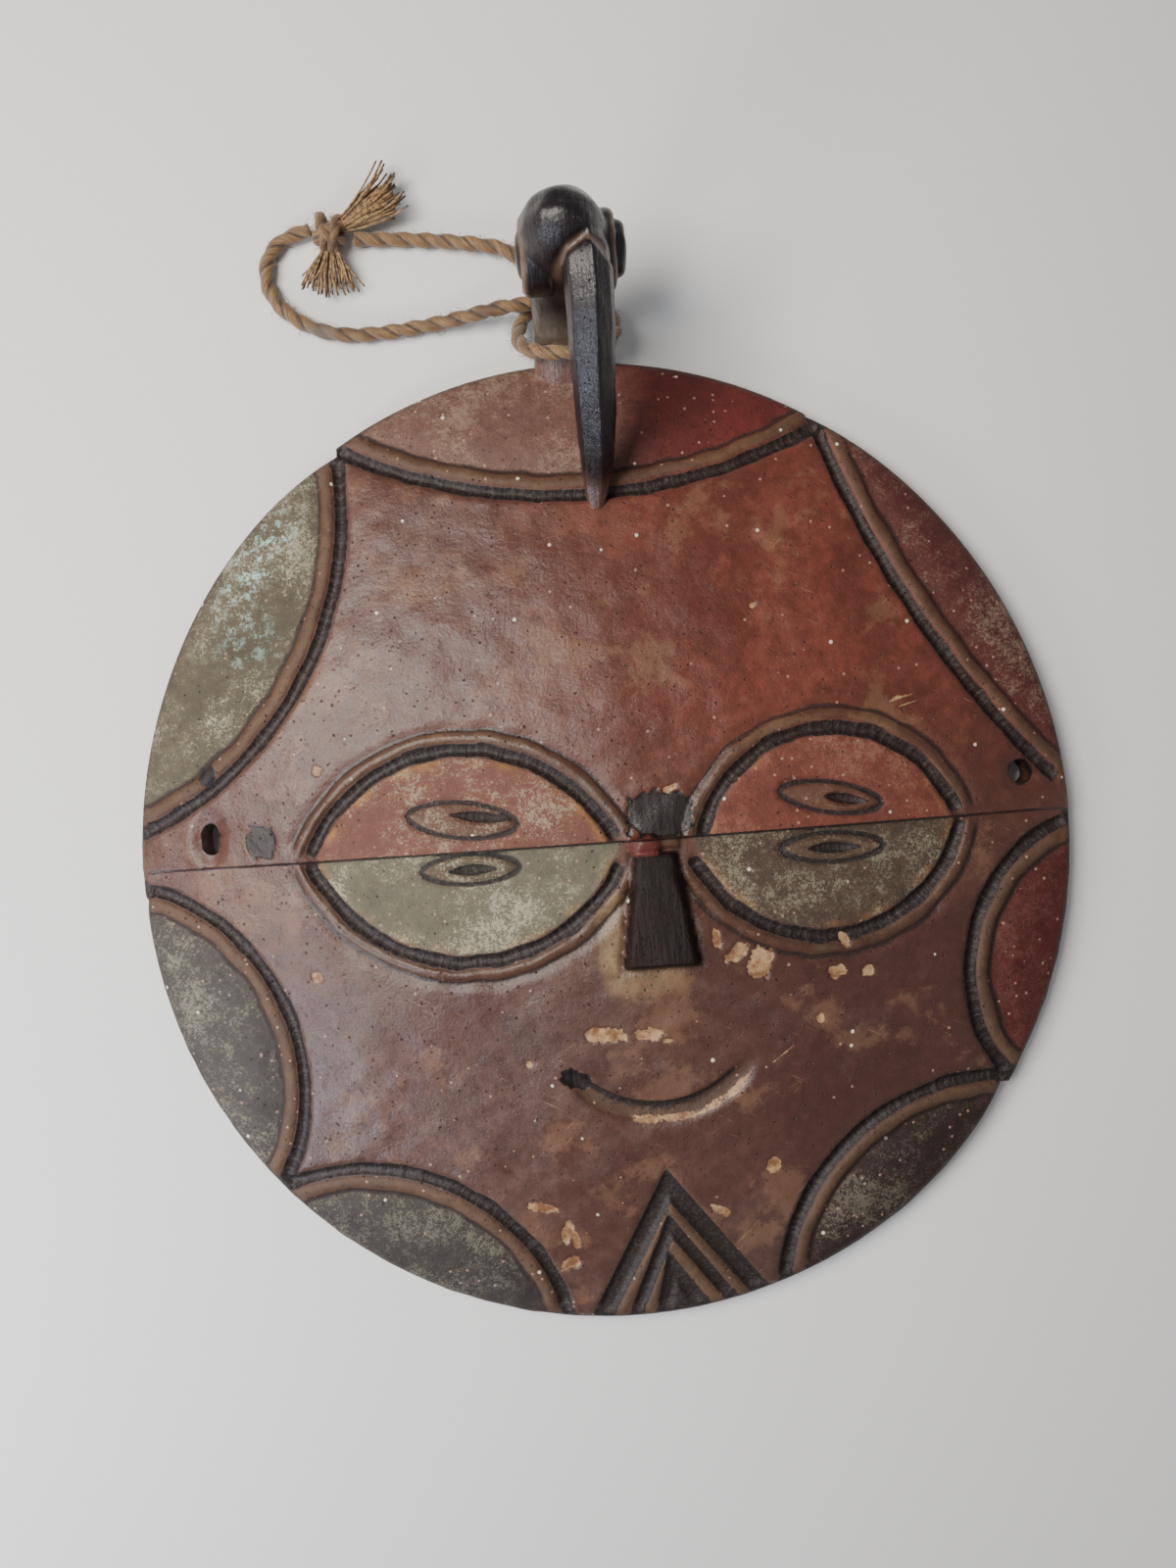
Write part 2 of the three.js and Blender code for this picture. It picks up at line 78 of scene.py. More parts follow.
def addObject(name, data):
    added = bpy.data.objects.new(name, data)
    bpy.context.scene.collection.objects.link(added)
    return added


def meshPiece(name, points, faces):
    mesh = bpy.data.meshes.new(name)
    mesh.from_pydata([tuple(point) for point in points], [], faces)
    mesh.polygons.foreach_set("use_smooth", np.ones(len(mesh.polygons), bool))
    mesh.update()
    return addObject(name, mesh)


# Puts the outcome of the piece's modifiers into its own mesh and takes them off.
def withModifiers(piece):
    shown = piece.evaluated_get(bpy.context.evaluated_depsgraph_get())
    mesh = bpy.data.meshes.new_from_object(shown)
    piece.modifiers.clear()
    piece.data = mesh
    return piece


def corners(piece):
    places = np.empty(len(piece.data.vertices) * 3)
    piece.data.vertices.foreach_get("co", places)
    return places.reshape(-1, 3)


def moveTo(piece, places):
    piece.data.vertices.foreach_set("co", places.ravel())
    piece.data.update()


def keep(piece, name, values, kind="FLOAT"):
    field = {"FLOAT": "value", "FLOAT_VECTOR": "vector", "FLOAT_COLOR": "color"}[kind]
    layer = piece.data.attributes.get(name) or piece.data.attributes.new(name, kind, "POINT")
    layer.data.foreach_set(field, np.asarray(values, np.float32).ravel())


def addNode(tree, kind, values=None, **settings):
    node = tree.nodes.new(kind)
    for name, setting in settings.items():
        setattr(node, name, setting)
    for socket, value in (values or {}).items():
        value = getattr(value, "socket", value)
        if isinstance(value, bpy.types.NodeSocket):
            tree.links.new(value, node.inputs[socket])
        else:
            node.inputs[socket].default_value = value
    return node


# A kind of sum for the numbers in a node tree.
def sumOf(operation, swapped=False):
    def result(self, other):
        first, second = (other, self) if swapped else (self, other)
        return made(self.tree, "ShaderNodeMath", {0: first, 1: second}, operation=operation)
    return result


# An output in a node tree. Sums of such numbers are written like sums of plain ones.
class Value:
    __add__ = __radd__ = sumOf("ADD")
    __mul__ = __rmul__ = sumOf("MULTIPLY")
    __sub__, __rsub__ = sumOf("SUBTRACT"), sumOf("SUBTRACT", swapped=True)
    __truediv__ = sumOf("DIVIDE")
    most, above = sumOf("MAXIMUM"), sumOf("GREATER_THAN")

    def __init__(self, tree, socket):
        self.tree, self.socket = tree, socket

    def clamped(self):
        return made(self.tree, "ShaderNodeClamp", {0: self})

    def ranged(self, low, high, least=0.0, greatest=1.0, **settings):
        values = {0: self, 1: low, 2: high, 3: least, 4: greatest}
        return made(self.tree, "ShaderNodeMapRange", values, **settings)

    # 0 below low, 1 above high, smooth between them
    def between(self, low, high):
        return self.ranged(low, high, interpolation_type="SMOOTHSTEP")

    # The first tone where the number is 0, the second where it is 1
    def mix(self, first, second):
        values = {0: self, 6: first, 7: second}
        return Value(self.tree, addNode(self.tree, "ShaderNodeMix", values, data_type="RGBA").outputs[2])


def made(tree, kind, values=None, output=0, **settings):
    return Value(tree, addNode(tree, kind, values, **settings).outputs[output])


def vector(tree, **values):
    return made(tree, "ShaderNodeCombineXYZ", values)


# Camera, straight above the mask, turned a little to the way it lies in the picture
cameraPlace = {"x": -0.00458, "y": 0.00127, "z": 0.420, "turn": -4.1, "lens": 28.83}


def makeCamera():
    lens = bpy.data.cameras.new("camera")
    lens.sensor_fit = "VERTICAL"
    lens.sensor_height = 36
    lens.lens = cameraPlace["lens"]
    lens.clip_start = 0.01
    camera = addObject("camera", lens)
    camera.location = (cameraPlace["x"], cameraPlace["y"], cameraPlace["z"])
    camera.rotation_euler = (0, 0, math.radians(cameraPlace["turn"]))
    bpy.context.scene.camera = camera


makeCamera()

# Cord: two plies twisted together, in a round turn over the neck and a loop on the left
cordMake = {
    "diameter": 5.0, "length": 299.0, "plyRadius": 1.87, "plyOffset": 0.63, "pitch": 15.0, "step": 0.7,
    "sides": 20, "hairs": 900, "hairLength": 0.0026,
}
discTop = 155.1
cordRoute = [
    (-69.4, 49.1, 3.6), (-60, 48.5, 2.9), (-48.5, 47.5, 2.9), (-37.5, 45.9, 3.4), (-28, 43.9, 4.2),
    (-19.8, 41.6, 4.4), (-13.6, 36.6, 4), (-11.2, 29.6, 3.2), (-12.4, 22.8, 2.9), (-15.6, 17.2, 4.6),
    (-17.2, 11.8, 8.4), (-16.4, 6.9, 13.4), (-13, 3, 18.2), (-7.2, 0.6, 21.6), (-0.4, 0, 22.4),
    (5.4, 0.8, 21.1), (10.6, 3.5, 17.6), (13.8, 8, 13), (14.4, 13.2, 9), (12.9, 18.2, 5.8),
    (8.8, 22, 3.8), (2.4, 23.6, 2.9), (-5.6, 22.7, 5), (-12, 21.5, 8.6), (-18.2, 20.8, 9.8),
    (-25, 20.3, 9), (-36, 19.5, 5.6), (-45, 19, 3.3), (-54, 18.2, 2.7), (-63.5, 17.5, 2.7),
    (-73.3, 17.7, 2.7), (-82, 19.7, 2.7), (-90.4, 24.1, 2.7), (-97, 30.7, 2.7), (-99.4, 38.5, 2.7),
    (-97.9, 45.5, 2.7), (-93.2, 50.3, 2.8), (-83.7, 53.1, 3.8),
]


# The smooth curve from one place to another that leaves and arrives in the given directions.
def smoothStep(share, start, leave, end, arrive):
    return (
        (2 * share**3 - 3 * share**2 + 1) * start + (share**3 - 2 * share**2 + share) * leave
        + (3 * share**2 - 2 * share**3) * end + (share**3 - share**2) * arrive
    )


# The centripetal curve through the points, with a point every step mm.
def smoothRoute(points, step):
    given = np.array(points, float)
    given = np.vstack([2 * given[0] - given[1], given, 2 * given[-1] - given[-2]])
    share = np.linspace(0, 1, 40, endpoint=False)[:, None]
    spans = []
    for index in range(1, len(given) - 2):
        before, start, end, after = given[index - 1:index + 3]
        gapBefore, gap, gapAfter = (
            math.sqrt(np.linalg.norm(b - a)) for a, b in ((before, start), (start, end), (end, after))
        )
        leave = (start - before) / gapBefore - (end - before) / (gapBefore + gap) + (end - start) / gap
        arrive = (end - start) / gap - (after - start) / (gap + gapAfter) + (after - end) / gapAfter
        spans.append(smoothStep(share, start, leave * gap, end, arrive * gap))
    dense = np.vstack(spans + [given[-2:-1]])
    reached = np.concatenate([[0], np.cumsum(np.linalg.norm(np.diff(dense, axis=0), axis=1))])
    wanted = np.linspace(0, reached[-1], int(reached[-1] / step) + 1)
    return np.column_stack([np.interp(wanted, reached, dense[:, axis]) for axis in range(3)])


# Points, faces and fibre places of a two-ply tube that follows the route.
def twistedTube(route, pitch, size=1.0, closed=False):
    count, sides = len(route), cordMake["sides"]
    if closed:
        ahead = np.roll(route, -1, axis=0) - np.roll(route, 1, axis=0)
    else:
        ahead = np.gradient(route, axis=0)
    ahead /= np.linalg.norm(ahead, axis=1)[:, None]
    steps = np.linalg.norm(np.diff(route, axis=0), axis=1)
    along = np.concatenate([[0], np.cumsum(steps)])
    side = np.cross(ahead[0], (0.1, 0.2, 1.0))
    angles = 2 * np.pi * np.arange(sides) / sides
    points, places, plies = [], [], []
    ply, offset = cordMake["plyRadius"] * size, cordMake["plyOffset"] * size
    for index in range(count):
        side = side - ahead[index] * np.dot(side, ahead[index])
        side /= np.linalg.norm(side)
        up = np.cross(ahead[index], side)
        twist = angles - 2 * np.pi * along[index] / pitch
        reach = offset * np.abs(np.cos(twist)) + np.sqrt(ply**2 - (offset * np.sin(twist)) ** 2)
        spread = reach[:, None] * (np.cos(angles)[:, None] * side + np.sin(angles)[:, None] * up)
        points.append(route[index] + spread)
        fibre = np.full(sides, along[index] * 0.1)
        places.append(np.column_stack([reach * np.cos(twist), reach * np.sin(twist), fibre]))
        plies.append(np.abs(np.cos(twist)))
    faces = []
    for index in range(count if closed else count - 1):
        here, there = index * sides, (index + 1) % count * sides
        for corner in range(sides):
            beside = (corner + 1) % sides
            faces.append((here + corner, there + corner, there + beside, here + beside))
    if not closed:
        faces.append(tuple(range(sides)))
        faces.append(tuple(reversed(range((count - 1) * sides, count * sides))))
    faces = [tuple(reversed(face)) for face in faces]
    return np.vstack(points), faces, np.vstack(places), np.concatenate(plies)


# Several parts as one: their points, their faces and whatever else each has for its points.
def joined(parts):
    starts = np.cumsum([0] + [len(points) for points, *_ in parts])
    points, faces, *rest = zip(*parts)
    allFaces = [
        tuple(corner + start for corner in face) for start, rows in zip(starts, faces) for face in rows
    ]
    return np.vstack(points), allFaces, *(np.concatenate(values) for values in rest)


# A new geometry tree with the named inputs: the tree, each input's identifier and its value.
def newGrowth(name, inputs):
    tree = bpy.data.node_groups.new(name, "GeometryNodeTree")
    names = {
        key: tree.interface.new_socket(name=key, in_out="INPUT", socket_type="NodeSocket" + kind).identifier
        for key, kind in inputs.items()
    }
    tree.interface.new_socket(name="Geometry", in_out="OUTPUT", socket_type="NodeSocketGeometry")
    given = addNode(tree, "NodeGroupInput").outputs
    return tree, names, {key: Value(tree, given[key]) for key in inputs}


def grow(piece, tree, identifiers, values):
    modifier = piece.modifiers.new("growth", "NODES")
    modifier.node_group = tree
    for name, value in values.items():
        modifier[identifiers[name]] = value
    return withModifiers(piece)


def liftOffFloor(piece, least=0.0002):
    places = corners(piece)
    places[:, 2] = np.maximum(least, places[:, 2])
    moveTo(piece, places)


def bentLine(tree, middle, end, resolution):
    return made(tree, "GeometryNodeCurveQuadraticBezier", {
        "Resolution": resolution, "Start": (0, 0, 0), "Middle": middle, "End": end,
    })


def swept(tree, line, outline):
    values = {"Curve": line, "Profile Curve": outline, "Fill Caps": True}
    return made(tree, "GeometryNodeCurveToMesh", values)


def circle(tree, sides, radius):
    return made(tree, "GeometryNodeCurvePrimitiveCircle", {"Resolution": sides, "Radius": radius}, "Curve")


def randomVector(tree, low, high, seed):
    values = {"Min": low, "Max": high, "Seed": seed}
    return made(tree, "FunctionNodeRandomValue", values, data_type="FLOAT_VECTOR")


# Real copies of a piece at the points
def copies(tree, points, piece, rotation, scale):
    placed = addNode(tree, "GeometryNodeInstanceOnPoints", {
        "Points": points, "Instance": piece, "Rotation": rotation, "Scale": scale,
    })
    return made(tree, "GeometryNodeRealizeInstances", {0: placed.outputs[0]})


def finishGrowth(tree, shape, material):
    painted = made(tree, "GeometryNodeSetMaterial", {0: shape, "Material": material})
    addNode(tree, "NodeGroupOutput", {0: painted})


# Short loose fibres that stand off a surface, added to the surface itself.
def hairNodes():
    tree, names, given = newGrowth("looseHairs", {
        "Geometry": "Geometry", "Amount": "Float", "Length": "Float", "Radius": "Float", "Seed": "Int",
        "Material": "Material",
    })
    length, seed = given["Length"], given["Seed"]
    spread = addNode(tree, "GeometryNodeDistributePointsOnFaces", {
        "Mesh": given["Geometry"], "Density": given["Amount"], "Seed": seed,
    }).outputs
    hair = bentLine(tree, vector(tree, Z=length * 0.5), vector(tree, X=length, Z=length * 0.45), 4)
    turn = randomVector(tree, (-0.5, -0.5, 0), (0.5, 0.5, 6.28), seed)
    facing = made(tree, "FunctionNodeRotateRotation", {
        0: spread["Rotation"], 1: made(tree, "FunctionNodeEulerToRotation", {0: turn}),
    }, rotation_space="LOCAL")
    size = made(tree, "FunctionNodeRandomValue", {2: 0.4, 3: 1.0, "Seed": seed}, 1)
    hairs = copies(tree, spread["Points"], swept(tree, hair, circle(tree, 3, given["Radius"])), facing, size)
    both = addNode(tree, "GeometryNodeJoinGeometry")
    tree.links.new(hairs.socket, both.inputs[0])
    tree.links.new(given["Geometry"].socket, both.inputs[0])
    finishGrowth(tree, both.outputs[0], given["Material"])
    return tree, names


# A fan of flat loose fibres that leave one place along X and spread across Y.
def fanNodes():
    tree, names, given = newGrowth("fibreFan", {
        "Count": "Int", "Length": "Float", "Drop": "Float", "Root Half": "Float", "Root Thick": "Float",
        "Fan": "Float", "Lift": "Float", "Radius": "Float", "Seed": "Int", "Material": "Material",
    })
    length, half, thick, seed = (given[key] for key in ("Length", "Root Half", "Root Thick", "Seed"))
    line = bentLine(
        tree, vector(tree, X=length * 0.5, Z=given["Lift"]),
        vector(tree, X=length, Z=given["Drop"] * -1.0), 9,
    )
    marked = made(tree, "GeometryNodeStoreNamedAttribute", {
        "Geometry": line, "Name": "fibreAlong", "Value": made(tree, "GeometryNodeSplineParameter"),
    }, data_type="FLOAT", domain="POINT")
    flat = made(tree, "GeometryNodeTransform", {
        "Geometry": circle(tree, 6, given["Radius"]), "Scale": (0.42, 1.0, 1.0),
    })
    low = vector(tree, Y=half * -1.0, Z=thick * -1.0)
    place = randomVector(tree, low, vector(tree, Y=half, Z=thick), seed)
    points = made(tree, "GeometryNodePoints", {"Count": given["Count"], "Position": place})
    where = made(tree, "GeometryNodeInputPosition")
    aside = made(tree, "ShaderNodeSeparateXYZ", {0: where}, "Y") / half
    loose = randomVector(tree, (-1.1, -0.07, -0.13), (1.1, 0.07, 0.13), seed)
    opening = vector(tree, Z=aside * given["Fan"])
    both = made(tree, "ShaderNodeVectorMath", {0: opening, 1: loose}, operation="ADD")
    facing = made(tree, "FunctionNodeEulerToRotation", {0: both})
    size = randomVector(tree, (0.72, 0.6, 0.7), (1.06, 1.3, 1.1), seed)
    finishGrowth(tree, copies(tree, points, swept(tree, marked, flat), facing, size), given["Material"])
    return tree, names


def newMaterial(name):
    material = bpy.data.materials.new(name)
    material.use_nodes = True
    material.node_tree.nodes.clear()
    return material, material.node_tree


def stored(tree, name, output="Fac"):
    return made(tree, "ShaderNodeAttribute", output=output, attribute_name=name)


def objectPlace(tree):
    return made(tree, "ShaderNodeTexCoord", output="Object")


def noise(place, scale, detail=3.0, roughness=0.55):
    values = {"Vector": place, "Scale": scale, "Detail": detail, "Roughness": roughness}
    return made(place.tree, "ShaderNodeTexNoise", values)


def bumped(height, strength, distance):
    values = {"Strength": strength, "Distance": distance, "Height": height}
    return made(height.tree, "ShaderNodeBump", values)


def finished(tree, values):
    surface = made(tree, "ShaderNodeBsdfPrincipled", values)
    addNode(tree, "ShaderNodeOutputMaterial", {0: surface})


fibreTones = {
    "straw": "#967240", "light": "#c29d65", "loose": "#a07f50", "dark": "#54391f", "burntTipAndPlyShade": "#1d1510",
    "worn": "#5c5044",
}
fibre = {name: colour(code) for name, code in fibreTones.items()}


def cordMaterial():
    # Two-ply twisted bast fibre, straw brown and a little waxed by handling
    material, tree = newMaterial("twistedFibre")
    streaks = noise(stored(tree, "fibrePlace", "Vector"), 2.6, 4.0, 0.65)
    patches = noise(objectPlace(tree), 90.0, 2.0)
    tone = streaks.between(0.35, 0.68).mix(fibre["dark"], fibre["straw"])
    tone = streaks.between(0.6, 0.8).mix(tone, fibre["light"])
    tone = patches.between(0.5, 0.75).mix(tone, fibre["dark"])
    # Painted shade: the valleys between the two plies are darkened towards near-black
    tone = stored(tree, "fibrePly").between(0.5, 0.05).mix(tone, fibre["burntTipAndPlyShade"])
    tone = (stored(tree, "fibreWorn") * 0.8).mix(tone, fibre["worn"])
    lines = bumped(streaks, 0.9, 0.0004)
    finished(tree, {"Base Color": tone, "Roughness": 0.55, "Normal": lines, "Sheen Weight": 0.25})
    return material


def fanMaterial():
    # The same fibre untwisted, paler inside and burnt at its tips
    material, tree = newMaterial("looseFibre")
    streaks = noise(objectPlace(tree), 900.0, 3.0)
    tone = streaks.between(0.35, 0.65).mix(fibre["dark"], fibre["loose"])
    tone = streaks.between(0.56, 0.76).mix(tone, fibre["straw"])
    tips = stored(tree, "fibreAlong") + streaks * 0.3
    tone = tips.between(1.04, 1.16).mix(tone, fibre["burntTipAndPlyShade"])
    lines = bumped(streaks, 0.5, 0.0002)
    finished(tree, {"Base Color": tone, "Roughness": 0.6, "Normal": lines, "Sheen Weight": 0.2})
    return material


cordLook = cordMaterial()
fanLook = fanMaterial()

route = smoothRoute([(x, y + discTop, z) for x, y, z in cordRoute], cordMake["step"])
wornPlace = np.array([-81.8, 173.8, 2.7])  # where the cord is rubbed dark, left of the knot


def cordPiece(name, parts):
    points, faces, places, plies = joined(parts)
    piece = meshPiece(name, onFrame(points), faces)
    keep(piece, "fibrePlace", places, "FLOAT_VECTOR")
    keep(piece, "fibrePly", plies)
    keep(piece, "fibreWorn", ramp(7, 2, np.linalg.norm(points - wornPlace, axis=1)))
    return piece


hairTree, hairNames = hairNodes()


def addHairs(piece, count, length, seed):
    area = sum(face.area for face in piece.data.polygons)
    grow(piece, hairTree, hairNames, {
        "Amount": count / area, "Length": length, "Radius": 0.00007, "Seed": seed, "Material": cordLook,
    })
    liftOffFloor(piece)


hangingCord = cordPiece("hangingCord", [twistedTube(route, cordMake["pitch"])])
addHairs(hangingCord, cordMake["hairs"], cordMake["hairLength"], 4)

# Knot: four rings of the same cord, a little thinner, round the place where its ends meet
knotMake = {"middle": (-76.4, 50.3 + discTop, 5.6), "size": 0.74, "pitch": 13.0, "hairs": 220,
            "hairLength": 0.0024}
knotLoops = [
    {"at": (-2.6, 0.4, 0), "wide": 5.6, "high": 3.5, "heading": 96, "tip": 0},
    {"at": (1.6, -0.6, 0), "wide": 5.4, "high": 3.7, "heading": 78, "tip": 0},
    {"at": (-0.4, 0.2, 0.3), "wide": 4.7, "high": 3.3, "heading": 22, "tip": 0},
    {"at": (0.2, 0.0, 1.0), "wide": 3.8, "high": 3.4, "heading": 132, "tip": 35},
]


def knotLoop(loop):
    turn, tip = math.radians(loop["heading"]), math.radians(loop["tip"])
    ahead = np.array([math.cos(turn), math.sin(turn), 0])
    up = np.array([-math.sin(turn) * math.sin(tip), math.cos(turn) * math.sin(tip), math.cos(tip)])
    angles = np.linspace(0, 2 * np.pi, 44, endpoint=False)[:, None]
    centre = np.array(knotMake["middle"]) + np.array(loop["at"])
    ring = centre + loop["wide"] * np.cos(angles) * ahead + loop["high"] * np.sin(angles) * up
    return twistedTube(ring, knotMake["pitch"], knotMake["size"], closed=True)


cordKnot = cordPiece("cordKnot", [knotLoop(loop) for loop in knotLoops])
addHairs(cordKnot, knotMake["hairs"], knotMake["hairLength"], 9)

# The two loose ends: fans of untwisted fibre, lengths in metres
fanMake = {
    "frayedEndLong": {
        "node": "frayed_end_long", "heading": 24, "out": 5.2, "z": 7.2, "bend": 5.0, "Count": 88,
        "Length": 0.0218, "Drop": 0.0012, "Root Half": 0.0019, "Root Thick": 0.0015, "Fan": 0.28,
        "Lift": 0.0012, "Radius": 0.00064, "Seed": 3,
    },
    "frayedEndShort": {
        "node": "frayed_end_short", "heading": 263, "out": 5.0, "z": 5.6, "bend": 0, "Count": 76,
        "Length": 0.0145, "Drop": 0.0026, "Root Half": 0.0022, "Root Thick": 0.0012, "Fan": 0.58,
        "Lift": 0.0009, "Radius": 0.00046, "Seed": 8,
    },
}
fanLimits = {"bendReach": 24, "lowest": 0.6}
fanTree, fanNames = fanNodes()


def makeFan(name, values):
    piece = meshPiece(name, [], [])
    grow(piece, fanTree, fanNames, {
        **{key: value for key, value in values.items() if key in fanNames}, "Material": fanLook,
    })
    turn = math.radians(values["heading"])
    places = corners(piece) * 1000
    bend = values["bend"] * np.clip(places[:, 0] / fanLimits["bendReach"], 0, 1) ** 2
    across = places[:, 1] + bend
    out = places[:, 0] + values["out"]
    middle = knotMake["middle"]
    x = middle[0] + out * math.cos(turn) - across * math.sin(turn)
    y = middle[1] + out * math.sin(turn) + across * math.cos(turn)
    z = np.maximum(fanLimits["lowest"], places[:, 2] + values["z"])
    moveTo(piece, onFrame(np.column_stack([x, y, z])))
    return piece


fans = {name: makeFan(name, values) for name, values in fanMake.items()}
for piece, node in [(hangingCord, "hanging_cord"), (cordKnot, "cord_knot")] + [
    (fans[name], values["node"]) for name, values in fanMake.items()
]:
    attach(piece, "root")
    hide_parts(node)
print("cord made")

# Carving: the disc and its face. Places and widths are in millimetres.
discMake = {
    "radius": 154.85, "edgeHeight": 9.0, "crown": 22.0, "rimWidth": 17.0, "wall": 14.0, "rounding": 3.0,
    "around": 640, "grid": 1.9, "backGrid": 5.0, "nearest": 0.52, "gouges": 0.22,
    "reach": 160, "backReach": 134,
}
# Waves round the disc's edge: how many, size and direction; and nicks: direction, depth and run
edgeWaves = [(1, 1.1, -127), (2, 2.2, -86), (3, 0.65, -16)]
edgeNicks = [(121, 2.6, 7), (324.5, 2.4, -5), (183.5, 0.9, 1.2), (60.5, 0.7, -3)]
midline = {"step": 2.6, "fade": 70, "least": 0.5, "gap": 0.55}
hammered = {"wide": 0.36, "wideLength": 36, "fine": 0.13, "fineLength": 12}


def smoothRadius(angle):
    return discMake["radius"] + sum(
        size * np.cos(turns * (angle - math.radians(peak))) for turns, size, peak in edgeWaves
    )


def edgeRadius(angle):
    radius = smoothRadius(angle)
    for start, depth, run in edgeNicks:
        past = (np.degrees(angle) - start + 180) % 360 - 180
        radius = radius - np.where(past / run >= 0, depth * np.exp(-np.abs(past / run)), 0)
    return radius


def edgeShare(x, y):
    return np.hypot(x, y) / edgeRadius(np.arctan2(y, x))


# Each border is an arc: middle x, middle y, radius and the angles where it starts and ends
rimArcs = [
    (1.8, 265.6, 155.1, 238.5, 301), (337.2, 200.3, 268.8, 194, 225), (164.6, -53, 50.8, 104, 221),
    (115.6, -153.4, 67.7, 81, 176), (-87, -165.4, 64.5, 8, 113), (-168.8, -69.3, 65.9, -34, 77),
    (-184.2, 113.3, 105.9, -73, 11),
]
eyeArcs = [
    (-46.3, -21.6, 53.4, 26, 153), (-44, 19.8, 54.8, 203, 329),
    (70.7, -12.6, 43.4, 20, 162), (69, 11.8, 46.6, 205, 342),
]
# Height across a border, from the side without the ridge: pairs of distance and height
rimAcross = [(-3.3, 0), (-2.4, -0.3), (-1.5, -1.6), (-0.5, -2.5), (0.6, -2.4), (1.6, -1.5), (2.5, -0.4),
             (3.4, 0.1), (4.5, 0.3), (5.6, 0.1), (6.4, -0.5), (7.2, -1.15), (8.1, -1.05), (9.4, -0.65),
             (11.6, -0.3), (14, 0)]
eyeAcross = [(-3, 0), (-2.2, -0.25), (-1.4, -1.5), (-0.4, -2.3), (0.6, -2.1), (1.5, -1.3), (2.4, -0.3),
             (3.2, 0.1), (4.1, 0.25), (5, 0.05), (5.7, -0.5), (6.4, -0.95), (7.2, -0.8), (8.4, -0.35),
             (10, 0)]
# What shows across a border: the distance of its middle, where it is full and where it has faded out
rimBands = {"groove": (-0.1, 1.7, 2.8), "ridge": (4.5, 1.3, 2.4), "crease": (7.3, 0.3, 1.3)}
eyeBands = {"groove": (0, 1.8, 2.7), "ridge": (4.1, 1.1, 2.1), "crease": (6.5, 0.3, 1.2)}
# How much bare tan wood shows inside each eye's groove
eyeTan = (0.9, 0.5, 0.3, 0.4)
# The borders' uneven hand-cut lines: size, length and seed of each wave
borderWander = [(0.24, 13, 61), (0.07, 4, 62)]
# Depths and heights of the smaller forms of the face
forms = {
    "pillow": 0.9, "almondLine": 0.95, "almondBulge": 0.45, "eyeSlit": 2.2, "mouthPatch": 1.1,
    "chinMiddle": 1.0, "noseCrease": 0.5, "holeDish": 1.6, "deepest": 3.4,
}


# Distance outside the arc's circle, distance along it from its middle, and distance to its end.
def onArc(arc, x, y):
    cx, cy, radius, start, end = arc
    turn = np.degrees(np.arctan2(y - cy, x - cx))
    past = (turn - (start + end) / 2 + 180) % 360 - 180
    along = np.radians(past) * radius
    return np.hypot(x - cx, y - cy) - radius, along, np.radians((end - start) / 2) * radius - np.abs(along)


def across(rows, distance):
    return np.interp(distance, [row[0] for row in rows], [row[1] for row in rows])


# Small closed eyes: middle, half length, half height, tilt, slit middle, slit half length
smallEyes = [
    (-44.8, 9.8, 17.7, 5.6, -8, -39, 10.4, 9.8), (-43.5, -5.8, 15.8, 4.7, 0, -42.8, -6, 8),
    (71, 8.8, 16.8, 4.8, -11, 75.4, 8, 7.2), (70.8, -7, 17, 4.6, -2, 71.2, -7.2, 8.6),
]


def turned(x, y, degrees):
    angle = math.radians(degrees)
    return x * math.cos(angle) - y * math.sin(angle), x * math.sin(angle) + y * math.cos(angle)


# Distance outside the almond line, share of the slit's length and distance from the slit's line.
def onEye(eye, x, y):
    cx, cy, long, high, tilt, sx, sy, slit = eye
    u, v = turned(x - cx, y - cy, -tilt)
    share = np.clip(1 - (u / long) ** 2, 0, 1)
    edge = high * share ** 0.65
    beyond = np.maximum(0, np.abs(u) - long)
    outside = np.where(beyond > 0, np.hypot(beyond, v), (np.abs(v) - edge) * (0.55 + 0.45 * share))
    slitU, slitV = turned(x - sx, y - sy, -tilt)
    return outside, slitU / slit, slitV


nose = {"top": -4.6, "foot": -40.3, "topLeft": 7.6, "topRight": 21.6, "footLeft": 2.2, "footRight": 26.4,
        "riseTop": 2.4, "riseFoot": 6.2}
noseBump = {"x": 11.6, "y": -1.9, "halfLong": 5.4, "halfWide": 3.6, "rise": 3.2, "stripEnd": 23}
mouth = {"arc": (11.3, -50, 37.1, 217, 326), "patch": (-15.2, -74.4, 5.8, 3.2, -22)}
mouthAcross = [(-4.6, 0), (-3.9, -0.4), (-3.2, -2.0), (-1.8, -2.5), (0.2, -2.3), (1.8, -1.8), (3.2, -0.9),
               (4.4, -0.25), (5.4, 0)]
chinApex = 11.6
# Chin lines from the outside in: apex y, left foot x, right foot x, half width, depth
chinLines = [(-112.6, -15, 43.5, 4.0, 2.2), (-126.3, -3.6, 32.6, 2.6, 1.9), (-141, 6.5, 22, 2.9, 1.9)]
chinFeet = (-162, -157)
tieHoles = [(-127.8, 9.1, 6.2, 10.2), (135.5, 12.4, 8, 8)]
